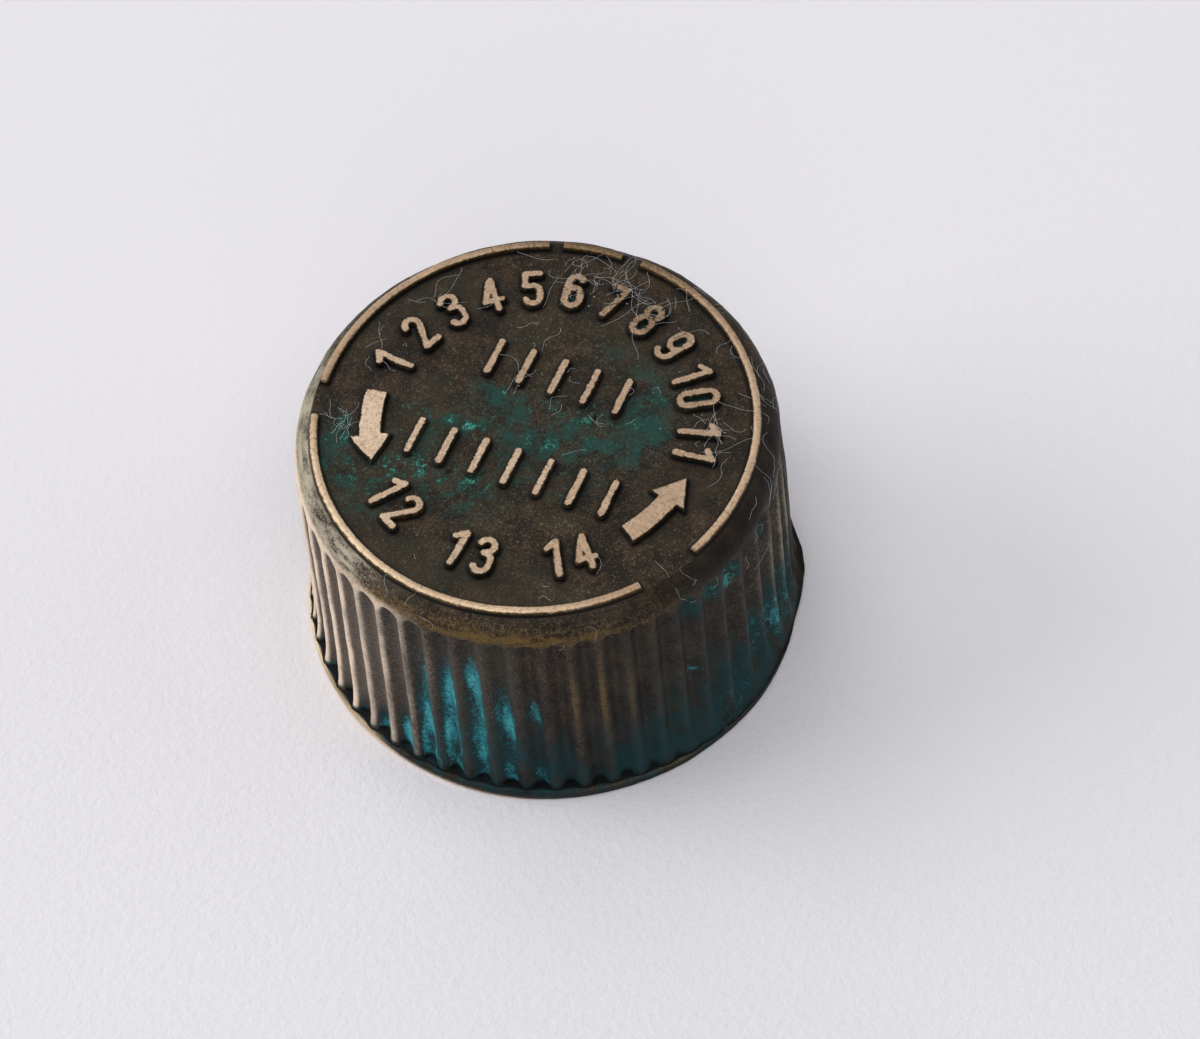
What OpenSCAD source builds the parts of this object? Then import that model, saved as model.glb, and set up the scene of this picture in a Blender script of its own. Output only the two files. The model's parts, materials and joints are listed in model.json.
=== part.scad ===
// Screw cap for a small medicine bottle, cast in one piece in bronze.
// Origin: centre of the mouth, on the face the cap stands on. +Z runs up through the top,
// and +Y points to the top of the markings. Millimetres.

/* [Neck bore] */
// Diameter of the bore that turns on the bottle's neck
neck_d = 28; // [24:0.5:34]
// Depth of the bore, from the mouth to its flat end
neck_depth = 17.4; // [12:0.2:24]
// Width of the chamfer that leads the neck in at the mouth
lead_in = 0.6; // [0.2:0.1:1.2]

/* [Skirt] */
// Wall of the skirt at its foot, from the bore out to the ridge tops
skirt_wall = 3; // [2.6:0.1:4.5]
// Lean of the skirt towards its top, in degrees
skirt_draft = 2.2; // [0:0.1:3]
// Number of flutes around the skirt
flute_count = 53; // [24:1:58]
// Angle at which the first flute stands, in degrees
flute_start = 5.5; // [0:0.1:10]
// Diameter of the round cutter that makes each flute
flute_d = 1.3; // [1:0.05:1.6]
// Depth of each flute below the ridge tops
flute_depth = 0.64; // [0.4:0.01:0.75]
// How far the round end of each flute runs past the rim of the skirt into the shoulder
flute_reach = 0.45; // [0:0.05:0.6]

/* [Flange] */
// How far the flange stands out past the ridge tops
flange_lip = 0.5; // [0.2:0.1:1.5]
// Thickness of the flange at the mouth
flange_t = 0.9; // [0.5:0.1:2]
// Chamfer on both edges of the flange
flange_edge = 0.15; // [0.05:0.05:0.2]

/* [Top] */
// Thickness of the top plate over the bore
top_t = 2.55; // [2:0.05:4]
// Height of the shoulder, from the rim of the skirt up to the plate
shoulder_h = 1.95; // [1:0.05:2.4]
// Width of the shoulder, from the rim of the skirt in to the ring
shoulder_w = 1.2; // [0.7:0.05:2]
// How far the shoulder bulges past a straight bevel
shoulder_bulge = 0.3; // [0.1:0.05:0.4]

/* [Markings] */
// Height of the ring, the arrows and the bars above the plate
relief_h = 0.45; // [0.2:0.05:1]
// Width of the ring at its foot
ring_w = 0.7; // [0.4:0.05:1]
// How much narrower each side of the ring is at its top
ring_taper = 0.08; // [0:0.02:0.15]
// Distance from the ring in to the middle of the band that holds the arrows
band_inset = 3.45; // [2.6:0.05:5]
// Width of an arrow's shaft
arrow_w = 1.45; // [0.8:0.05:2]
// Turn of an arrow's shaft about the centre, in degrees
arrow_turn = 19; // [8:1:30]
// Width of an arrow's head
head_w = 2.8; // [2.2:0.1:4]
// Length of an arrow's head
head_l = 2.15; // [1:0.05:4]
// Length of a bar in the two middle rows
bar_l = 3.1; // [1:0.1:4]
// Width of a bar
bar_w = 0.5; // [0.3:0.05:0.9]
// Spacing of the bars along a row
bar_pitch = 2.34; // [1.2:0.02:2.6]
// Distance between the middles of the two rows
row_gap = 7.8; // [5:0.1:9]

/* [Hidden] */

bore_r = neck_d / 2;
skirt_foot_r = bore_r + skirt_wall;
flange_r = skirt_foot_r + flange_lip;
plate_z = neck_depth + top_t;
rim_z = plate_z - shoulder_h;
rim_r = skirt_foot_r - (rim_z - flange_t) * tan(skirt_draft);
plate_r = rim_r - shoulder_w;
band_r = plate_r - ring_w - band_inset;
flute_r = flute_d / 2;

// Angles at which each stretch of the broken ring starts and stops, in degrees
ring_stretches = [[-22, 84], [90, 106], [110, 188], [199, 321]];
// Angles at which the arrows start
arrow_starts = [188, 327];
// Number of bars in the upper and in the lower row
row_counts = [5, 7];
// How far one solid reaches into the next, so that they join
sink = 0.2;
// How far a cutter reaches past the surface it cuts
past = 1;
// Steps along the shoulder's arc
shoulder_steps = 10;
bronze = "#54483a";
worn_bronze = "#c3a07c";

$fn = 96;

// The shoulder is an arc through the rim and the plate's edge: chord, radius and centre
chord_w = rim_r - plate_r;
chord = norm([chord_w, shoulder_h]);
shoulder_r = (chord * chord / 4 + shoulder_bulge * shoulder_bulge) / (2 * shoulder_bulge);
chord_mid = [(rim_r + plate_r) / 2, (rim_z + plate_z) / 2];
// Unit vector out of the chord, away from the axis and up
chord_out = [shoulder_h, chord_w] / chord;
shoulder_c = chord_mid - chord_out * (shoulder_r - shoulder_bulge);
shoulder_half = asin(chord / 2 / shoulder_r);
shoulder_mid = atan2(chord_out[1], chord_out[0]);

// Points of the shoulder from the rim of the skirt up to the edge of the plate
function shoulder_points() = [
    for (i = [0:shoulder_steps])
        let (a = shoulder_mid - shoulder_half + 2 * shoulder_half * i / shoulder_steps)
            shoulder_c + shoulder_r * [cos(a), sin(a)]
];

// Turned body: leaning skirt, round shoulder and flat plate
module body() {
    color(bronze) rotate_extrude() polygon(concat(
        [[0, flange_t], [skirt_foot_r, flange_t]],
        shoulder_points(),
        [[0, plate_z]]
    ));
}

// A flute is cut by a rod with a ball end that leans with the skirt
module flute_cutter() {
    foot = flute_r - flute_depth;
    run = (rim_z - flange_t) / cos(skirt_draft) + flute_reach - flute_r;
    translate([skirt_foot_r + foot, 0, flange_t])
        rotate([0, -skirt_draft, 0])
            rotate_extrude() {
                translate([0, -past]) square([flute_r, run + past]);
                intersection() {
                    translate([0, run]) circle(flute_r);
                    translate([0, run]) square(flute_r);
                }
            }
}

module fluted_body() {
    color(bronze) difference() {
        body();
        for (i = [0:flute_count - 1])
            rotate(flute_start + i * 360 / flute_count) flute_cutter();
    }
}

// Thin flange around the mouth, with both edges eased; the flutes end on it
module flange() {
    color(bronze) rotate_extrude() polygon([
        [0, 0],
        [flange_r - flange_edge, 0],
        [flange_r, flange_edge],
        [flange_r, flange_t - flange_edge],
        [flange_r - flange_edge, flange_t],
        [0, flange_t]
    ]);
}

// Raised ring at the edge of the plate, broken where the cast metal is missing
module ring() {
    foot_z = plate_z - sink;
    top_z = plate_z + relief_h;
    color(worn_bronze) for (s = ring_stretches)
        rotate(s[0]) rotate_extrude(angle = s[1] - s[0]) polygon([
            [plate_r - ring_w, foot_z],
            [plate_r, foot_z],
            [plate_r, plate_z],
            [plate_r - ring_taper, top_z],
            [plate_r - ring_w + ring_taper, top_z],
            [plate_r - ring_w, plate_z]
        ]);
}

// Block arrow bent around the centre, pointing counterclockwise
module arrow() {
    translate([0, 0, plate_z - sink]) {
        rotate_extrude(angle = arrow_turn)
            translate([band_r - arrow_w / 2, 0]) square([arrow_w, relief_h + sink]);
        rotate(arrow_turn) linear_extrude(relief_h + sink) polygon([
            [band_r - head_w / 2, 0],
            [band_r + head_w / 2, 0],
            [band_r, head_l]
        ]);
    }
}

module arrows() {
    color(worn_bronze) for (a = arrow_starts) rotate(a) arrow();
}

// Upright bar with round ends
module bar() {
    straight = bar_l - bar_w;
    linear_extrude(relief_h + sink) {
        translate([-bar_w / 2, -straight / 2]) square([bar_w, straight]);
        for (side = [-1, 1]) translate([0, side * straight / 2]) circle(bar_w / 2);
    }
}

// Two rows of plain bars across the middle of the plate
module bar_rows() {
    color(worn_bronze) for (row = [0, 1], i = [0:row_counts[row] - 1])
        translate([
            (i - (row_counts[row] - 1) / 2) * bar_pitch,
            (0.5 - row) * row_gap,
            plate_z - sink
        ]) bar();
}

// Bore for the bottle's neck, with a flat end and a chamfered mouth
module neck_bore() {
    color(bronze) {
        translate([0, 0, -past]) cylinder(d = neck_d, h = neck_depth + past);
        translate([0, 0, -past]) cylinder(
            r1 = bore_r + lead_in + past, r2 = bore_r, h = lead_in + past
        );
    }
}

module cap() {
    difference() {
        union() {
            fluted_body();
            flange();
            ring();
            arrows();
            bar_rows();
        }
        neck_bore();
    }
}

cap();
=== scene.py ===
"""Looks of a bronze screw cap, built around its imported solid.

The cap is one casting. Here its outside is made again as two fine surfaces that meet in the dark
line outside the raised ring: the top plate with its relief, and the fluted skirt with the
shoulder, the flange and the bore. A third piece is the thread inside the bore.

Lengths are in millimetres until a mesh is made. Angles on the cap are azimuths in degrees about
+Z, counted from +X, in the solid's own frame.
"""

import itertools
import json
import logging
import math
from dataclasses import dataclass, field
from enum import Enum
from functools import cached_property
from typing import Iterable, Sequence

import bpy
import numpy as np
from mathutils import Matrix, Vector

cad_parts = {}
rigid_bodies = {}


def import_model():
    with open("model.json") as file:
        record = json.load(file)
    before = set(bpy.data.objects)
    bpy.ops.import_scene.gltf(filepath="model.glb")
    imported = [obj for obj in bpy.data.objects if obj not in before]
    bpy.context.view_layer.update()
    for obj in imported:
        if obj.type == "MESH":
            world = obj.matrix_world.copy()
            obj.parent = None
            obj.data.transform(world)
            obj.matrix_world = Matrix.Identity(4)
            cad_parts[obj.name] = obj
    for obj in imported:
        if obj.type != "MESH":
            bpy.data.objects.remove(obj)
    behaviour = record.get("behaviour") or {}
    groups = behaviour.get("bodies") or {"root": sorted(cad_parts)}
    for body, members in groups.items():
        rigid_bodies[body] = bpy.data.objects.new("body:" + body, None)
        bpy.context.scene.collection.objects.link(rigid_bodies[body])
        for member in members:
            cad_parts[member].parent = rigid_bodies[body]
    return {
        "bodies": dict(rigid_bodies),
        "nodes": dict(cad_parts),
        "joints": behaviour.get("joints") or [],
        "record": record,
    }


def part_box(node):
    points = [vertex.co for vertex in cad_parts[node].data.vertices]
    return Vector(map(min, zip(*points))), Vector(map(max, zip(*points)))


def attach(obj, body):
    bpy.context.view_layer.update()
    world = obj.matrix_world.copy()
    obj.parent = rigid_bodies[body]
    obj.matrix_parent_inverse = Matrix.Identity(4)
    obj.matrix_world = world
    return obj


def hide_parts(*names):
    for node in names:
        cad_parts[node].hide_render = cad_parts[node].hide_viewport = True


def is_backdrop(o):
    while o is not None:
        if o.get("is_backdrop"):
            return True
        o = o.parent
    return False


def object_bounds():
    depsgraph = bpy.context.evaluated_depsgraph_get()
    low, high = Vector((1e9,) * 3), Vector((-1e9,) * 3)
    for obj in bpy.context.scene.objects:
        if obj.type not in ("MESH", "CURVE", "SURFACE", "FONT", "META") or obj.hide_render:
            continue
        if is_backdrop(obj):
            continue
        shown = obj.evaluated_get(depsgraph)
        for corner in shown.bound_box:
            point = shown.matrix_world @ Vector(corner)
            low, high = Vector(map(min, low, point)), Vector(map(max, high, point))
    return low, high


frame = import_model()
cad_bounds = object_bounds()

log = logging.getLogger("cap")
Array = np.ndarray

MM = 0.001
NODE = "cap"
BODY = "root"
# Grime on faces that nobody sees
HIDDEN_GRIME = 0.35


class Mask(Enum):
    """Names of the values that a vertex carries for the finish, each from 0 to 1.

    RUB is metal rubbed bare in crisp spots, WEAR the same with soft edges, and on the flange's
    lowest edge a painted reflection; BRIGHT says how bright it is. GREEN is verdigris, CRUST its
    thick pale form, in some flutes also a painted highlight on their lit half, and LEAFY how far
    both are green rather than blue. GRIME is dark dirt, and at the flutes' feet and on the flange
    also painted shade. OCHRE is yellow-brown wear, with a painted reflection on the flange's
    lowest edge, PALE chalk, with a painted sheen on a few ridges, HOLLOW a grey film, made
    lighter on the lit half of each flute as painted light, and DUST where specks of dust lie.
    """

    RUB = "rub"
    WEAR = "wear"
    GRIME = "grime"
    GREEN = "green"
    CRUST = "crust"
    OCHRE = "ochre"
    PALE = "pale"
    HOLLOW = "hollow"
    BRIGHT = "bright"
    LEAFY = "leafy"
    DUST = "dust"


Masks = dict[Mask, Array]
Waves = tuple[tuple[float, float], ...]
Colour = tuple[float, float, float, float]


# ---------------------------------------------------------------- sizes


@dataclass(frozen=True)
class CapSizes:
    """Sizes of the casting in millimetres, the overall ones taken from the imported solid."""

    flange_r: float
    height: float
    bore_r: float
    bore_depth: float
    skirt_wall: float = 3.0
    flange_t: float = 0.9
    flange_edge: float = 0.15
    lead_in: float = 0.6
    draft: float = math.radians(2.2)
    flutes: int = 53
    flute_start: float = 5.5
    flute_r: float = 0.65
    flute_depth: float = 0.64
    flute_reach: float = 0.45
    shoulder_h: float = 1.95
    shoulder_w: float = 1.2
    shoulder_bulge: float = 0.3
    relief_h: float = 0.45
    ring_w: float = 0.7
    band_inset: float = 3.45

    @classmethod
    def from_frame(cls, packed: dict) -> "CapSizes":
        """Reads the flange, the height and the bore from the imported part.


        Returns:
            The sizes, with the others at their own values.
        """
        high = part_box(NODE)[1]
        neck = next(m for m in packed["record"]["mounts"] if m["name"] == "neck_bore")
        length = neck["dims"]["length_mm"]
        return cls(
            flange_r=high.x / MM,
            height=high.z / MM,
            bore_r=neck["dims"]["r_mm"],
            bore_depth=neck["pos_m"][2] / MM + length / 2,
        )

    @property
    def pitch(self) -> float:
        """Angle from one flute to the next, in degrees."""
        return 360 / self.flutes

    @property
    def skirt_r(self) -> float:
        """Radius of the ridge tops where the skirt meets the flange."""
        return self.bore_r + self.skirt_wall

    @property
    def plate_z(self) -> float:
        """Height of the plate that the markings stand on."""
        return self.height - self.relief_h

    @property
    def rim_z(self) -> float:
        """Height at which the skirt turns into the shoulder."""
        return self.plate_z - self.shoulder_h

    @property
    def rim_r(self) -> float:
        """Radius of the skirt where it turns into the shoulder."""
        return self.skirt_r - (self.rim_z - self.flange_t) * math.tan(self.draft)

    @property
    def plate_r(self) -> float:
        """Radius of the plate, out to the foot of the ring."""
        return self.rim_r - self.shoulder_w

    @property
    def band_r(self) -> float:
        """Radius of the band that holds the arrows and the numbers."""
        return self.plate_r - self.ring_w - self.band_inset


# ---------------------------------------------------------------- numbers over arrays


def smooth(low: float, high: float, value: Array) -> Array:
    """Rises from 0 at low to 1 at high along 3t^2 - 2t^3.

    Args:
        low: Value at which the rise starts.
        high: Value at which it ends, which may be the smaller one.
        value: Values to look up.

    Returns:
        The rise at each value.
    """
    t = np.clip((value - low) / (high - low), 0, 1)
    return t * t * (3 - 2 * t)


def turn_between(angle: Array, middle: float) -> Array:
    """Signed difference of two azimuths in degrees, from -180 to 180."""
    return (angle - middle + 180) % 360 - 180


@dataclass(frozen=True)
class Grain:
    """Smooth random values over space, the same on every run.

    A lattice of random numbers is blended between its eight nearest points, with weights that
    follow 3t^2 - 2t^3 along each axis. Octaves halve in size and in strength.
    """

    seed: int
    cells: int = 32

    def __call__(self, points: Array, size: float, octaves: int = 1) -> Array:
        """Looks the values up.

        Args:
            points: Places in millimetres, one row each.
            size: Distance between lattice points.
            octaves: How many finer copies are added up.

        Returns:
            Values from about -1 to 1, one for each place.
        """
        table = np.random.default_rng(self.seed).uniform(-1, 1, (self.cells,) * 3)
        total = np.zeros(len(points))
        for octave in range(octaves):
            q = points * 2**octave / size + octave * 7.3
            base = np.floor(q).astype(int)
            part = q - base
            part = part * part * (3 - 2 * part)
            for corner in itertools.product((0, 1), repeat=3):
                side = np.array(corner)
                weight = np.prod(np.where(side, part, 1 - part), axis=1)
                i, j, k = ((base + side) % self.cells).T
                total += weight * table[i, j, k] / 2**octave
        return total

    def waves(self, points: Array, waves: Waves) -> Array:
        """Unevenness: height times value for each (size, height), in two octaves, added up."""
        return sum(height * self(points, size, 2) for size, height in waves)


def bell(off: Array, half: float) -> Array:
    """Bell curve around 0: exp(-(off / half)^2)."""
    return np.exp(-((off / half) ** 2))


@dataclass(frozen=True)
class Bell:
    """A bell curve around the cap.

    Attributes:
        middle: Azimuth of its top, in degrees.
        half: How far from there it has fallen to 1/e, in degrees.
        height: Its height, in the unit of what it changes.
    """

    middle: float
    half: float
    height: float


Bells = tuple[Bell, ...]


def bells(*rows: tuple[float, float, float]) -> Bells:
    """Bell curves, one from each row of middle, half and height."""
    return tuple(Bell(*row) for row in rows)


def around(curves: Bells, azimuth: Array) -> Array:
    """Adds up bell curves: height * exp(-((azimuth - middle) / half)^2) each.

    Args:
        curves: The curves.
        azimuth: Azimuths in degrees.

    Returns:
        The sum at each azimuth.
    """
    total = np.zeros_like(azimuth)
    for one in curves:
        total += one.height * bell(turn_between(azimuth, one.middle), one.half)
    return total


@dataclass(frozen=True)
class Patch:
    """A soft-edged area: a bell curve in two directions.

    On the plate, u and v are x and y in millimetres. On the skirt, u is the azimuth in degrees
    and v the height in millimetres.
    """

    u: float
    v: float
    u_half: float
    v_half: float
    strength: float = 1.0


Patches = tuple[Patch, ...]


def areas(*rows: tuple[float, ...]) -> Patches:
    """Soft-edged areas, one from each row of u, v, u_half, v_half and strength."""
    return tuple(Patch(*row) for row in rows)


def painted(patches: Patches, u: Array, v: Array, wraps: bool) -> Array:
    """Adds up soft-edged areas: strength * exp(-(du/u_half)^2 - (dv/v_half)^2) each.

    Args:
        patches: The areas.
        u: First coordinate of each place.
        v: Second coordinate of each place.
        wraps: Whether u is an azimuth, which wraps at 360 degrees.

    Returns:
        The sum at each place, up to 1.
    """
    total = np.zeros_like(u)
    for p in patches:
        du = turn_between(u, p.u) if wraps else u - p.u
        total += p.strength * np.exp(-((du / p.u_half) ** 2) - ((v - p.v) / p.v_half) ** 2)
    return np.clip(total, 0, 1)


def placed_around(radius: Array, azimuth: Array, height: Array) -> Array:
    """Places at radii, azimuths in radians and heights, with x, y and z last."""
    return np.stack([radius * np.cos(azimuth), radius * np.sin(azimuth), height], -1)


# ---------------------------------------------------------------- meshes


def blank(shape: int | tuple[int, ...]) -> Masks:
    """All values for the finish at 0, as arrays of one shape."""
    return {mask: np.zeros(shape) for mask in Mask}


def make_mesh(name: str, points: Array, faces: Sequence[Array], masks: Masks,
              crease: float) -> bpy.types.Object:
    """Puts arrays into a mesh object at the origin.

    Args:
        name: Name of the object.
        points: Vertices in millimetres, one row each.
        faces: Arrays of vertex numbers, one row a face, each array with its own corner count.
        masks: Values for the finish, one for each vertex.
        crease: Angle in degrees past which an edge is shaded sharp.

    Returns:
        The new object, linked to the scene.
    """
    mesh = bpy.data.meshes.new(name)
    corners = np.concatenate([f.ravel() for f in faces])
    counts = np.concatenate([np.full(len(f), f.shape[1]) for f in faces])
    mesh.vertices.add(len(points))
    mesh.vertices.foreach_set("co", (points * MM).astype(np.float32).ravel())
    mesh.loops.add(len(corners))
    mesh.loops.foreach_set("vertex_index", corners.astype(np.int32))
    mesh.polygons.add(len(counts))
    starts = np.concatenate([[0], np.cumsum(counts)[:-1]])
    mesh.polygons.foreach_set("loop_start", starts.astype(np.int32))
    mesh.update(calc_edges=True)
    mesh.validate()
    for mask, values in masks.items():
        layer = mesh.attributes.new(mask.value, "FLOAT", "POINT")
        layer.data.foreach_set("value", np.clip(values, 0, 1).astype(np.float32))
    mesh.shade_smooth()
    mesh.set_sharp_from_angle(angle=math.radians(crease))
    piece = bpy.data.objects.new(name, mesh)
    bpy.context.scene.collection.objects.link(piece)
    return piece


def wrapped_quads(rows: int, columns: int, close_rows: bool) -> Array:
    """Faces of a grid whose columns go around and close.

    Args:
        rows: Number of rows of vertices.
        columns: Number of vertices in a row.
        close_rows: Whether the last row joins the first one.

    Returns:
        Vertex numbers, four to a face.
    """
    last = rows if close_rows else rows - 1
    i, j = np.meshgrid(np.arange(last), np.arange(columns), indexing="ij")
    below, right = (i + 1) % rows, (j + 1) % columns
    quads = [i * columns + j, i * columns + right, below * columns + right, below * columns + j]
    return np.stack(quads, -1).reshape(-1, 4)


# ---------------------------------------------------------------- shapes of the markings


def arc(x: float, y: float, radius: float, start: float, stop: float, steps: int = 12) -> Array:
    """Points along a circular arc: centre plus radius times (cos a, sin a), a in degrees."""
    a = np.radians(np.linspace(start, stop, steps + 1))
    return np.stack([x + radius * np.cos(a), y + radius * np.sin(a)], -1)


def line(*corners: tuple[float, float]) -> Array:
    """Points of a broken line, as an array."""
    return np.array(corners, float)


def join(*paths: Array) -> Array:
    """One path through several, end to end."""
    return np.concatenate(paths)


def path_distance(points: Array, path: Array) -> Array:
    """Distance from each point to the nearest stretch of a path.

    For each stretch from a to b, the nearest spot is a + t(b - a), with t the projection
    limited to 0 and 1.

    Args:
        points: Places, one row each.
        path: Corners of the path, one row each.

    Returns:
        The distances.
    """
    a, b = path[:-1], path[1:]
    along = b - a
    length2 = np.maximum((along**2).sum(1), 1e-12)
    rel = points[:, None, :] - a[None]
    t = np.clip((rel * along).sum(2) / length2, 0, 1)
    return np.linalg.norm(rel - t[..., None] * along, axis=2).min(1)


def area_distance(points: Array, outline: Array) -> Array:
    """Distance to a closed outline, negative inside.

    A point is inside if a ray to its right crosses the outline an odd number of times.

    Args:
        points: Places, one row each.
        outline: Corners of the outline, the last one not repeated.

    Returns:
        The signed distances.
    """
    closed = np.concatenate([outline, outline[:1]])
    (x0, y0), (x1, y1) = closed[:-1].T, closed[1:].T
    x, y = points[:, :1], points[:, 1:]
    spans = (y0 > y) != (y1 > y)
    rise = np.where(y1 == y0, 1.0, y1 - y0)
    inside = (spans & (x < x0 + (y - y0) * (x1 - x0) / rise)).sum(1) % 2 == 1
    return path_distance(points, closed) * np.where(inside, -1, 1)


def placed(path: Array, x: float, y: float, turn: float) -> Array:
    """A path turned by an angle in degrees and then moved to a place."""
    c, s = math.cos(math.radians(turn)), math.sin(math.radians(turn))
    return path @ np.array([[c, s], [-s, c]]) + (x, y)


class Digits:
    """Plain digits drawn with one stroke width, 2.5 high and 1 wide between stroke centres."""

    HALF_W = 0.5
    TOP = 1.25
    BOWL = TOP - HALF_W
    LOW_BOWL = -0.25

    @classmethod
    def strokes(cls, digit: str) -> list[Array]:
        """Paths that draw one digit, around its own centre.

        Args:
            digit: One character from 0 to 9.

        Returns:
            The paths of its strokes.
        """
        w, top, bowl, low = cls.HALF_W, cls.TOP, cls.BOWL, cls.LOW_BOWL
        loop = join(arc(0, low, w, 0, 180), arc(0, -bowl, w, 180, 360), line((w, low)))
        drawn = {
            "0": [join(arc(0, bowl, w, 0, 180), arc(0, -bowl, w, 180, 360), line((w, bowl)))],
            "1": [line((-w, 0.8), (0.1, top), (0.1, -top))],
            "2": [join(arc(0, bowl, w, 170, -30), line((-w, -top), (w, -top)))],
            "3": [join(arc(0, bowl, w, 160, -60), line((-0.1, 0.2)), arc(0, low - 0.05, w, 70, 0),
                       arc(0, -bowl, w, 0, -160))],
            "4": [line((0.2, -top), (0.2, top), (-w - 0.05, -0.5), (w + 0.1, -0.5))],
            "5": [join(line((w, top), (-w, top), (-w, 0.25), (0, 0.25)),
                       arc(0, low, w, 90, 0), arc(0, -bowl, w, 0, -160))],
            "6": [loop, join(arc(0, bowl, w, 30, 180), line((-w, -bowl)))],
            "7": [line((-w, top), (w, top), (-0.15, -top))],
            "8": [loop, arc(0, bowl, w, 0, 360)],
            "9": [-loop, join(-arc(0, bowl, w, 30, 180), line((w, bowl)))],
        }
        return drawn[digit]

    @classmethod
    def hollows(cls, digit: str) -> Array:
        """Middles of the spaces that one digit encloses, one row each."""
        middles = {"0": [(0.0, 0.4), (0.0, -0.4)], "4": [(-0.1, 0.0)], "6": [(0.0, -0.5)],
                   "8": [(0.0, cls.BOWL), (0.0, -0.5)], "9": [(0.0, 0.5)]}
        return np.array(middles.get(digit, [])).reshape(-1, 2)


@dataclass(frozen=True)
class Mark:
    """One raised shape on the plate.

    Attributes:
        paths: Paths that a stroke of the given width follows, or one closed outline.
        width: Width of the stroke, or 0 for a filled outline.
        centre: Middle of the shape.
        reach: Distance from the middle past which the shape has no effect.
        hollows: Middles of enclosed spaces, where verdigris gathers.
    """

    paths: tuple[Array, ...]
    width: float
    centre: tuple[float, float]
    reach: float
    hollows: Array = field(default_factory=lambda: np.zeros((0, 2)))

    def distance(self, points: Array) -> Array:
        """Signed distance to the shape's edge, negative inside."""
        if self.width:
            return np.min([path_distance(points, p) for p in self.paths], 0) - self.width / 2
        return area_distance(points, self.paths[0])


# ---------------------------------------------------------------- top plate


@dataclass(frozen=True, eq=False)
class Relief:
    """Places on the plate and how its relief lies around them.

    Attributes:
        plane: Places in the plane, one row each.
        distance: Signed distance to the nearest raised edge, negative on top of the relief.
        raised: Relative height of the relief, 0 to 1.
        enclosed: How far a place lies in the space that a figure encloses, 0 to 1.
        wall_run: How far the sides of the relief run out.
    """

    plane: Array
    distance: Array
    raised: Array
    enclosed: Array
    wall_run: float


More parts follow.
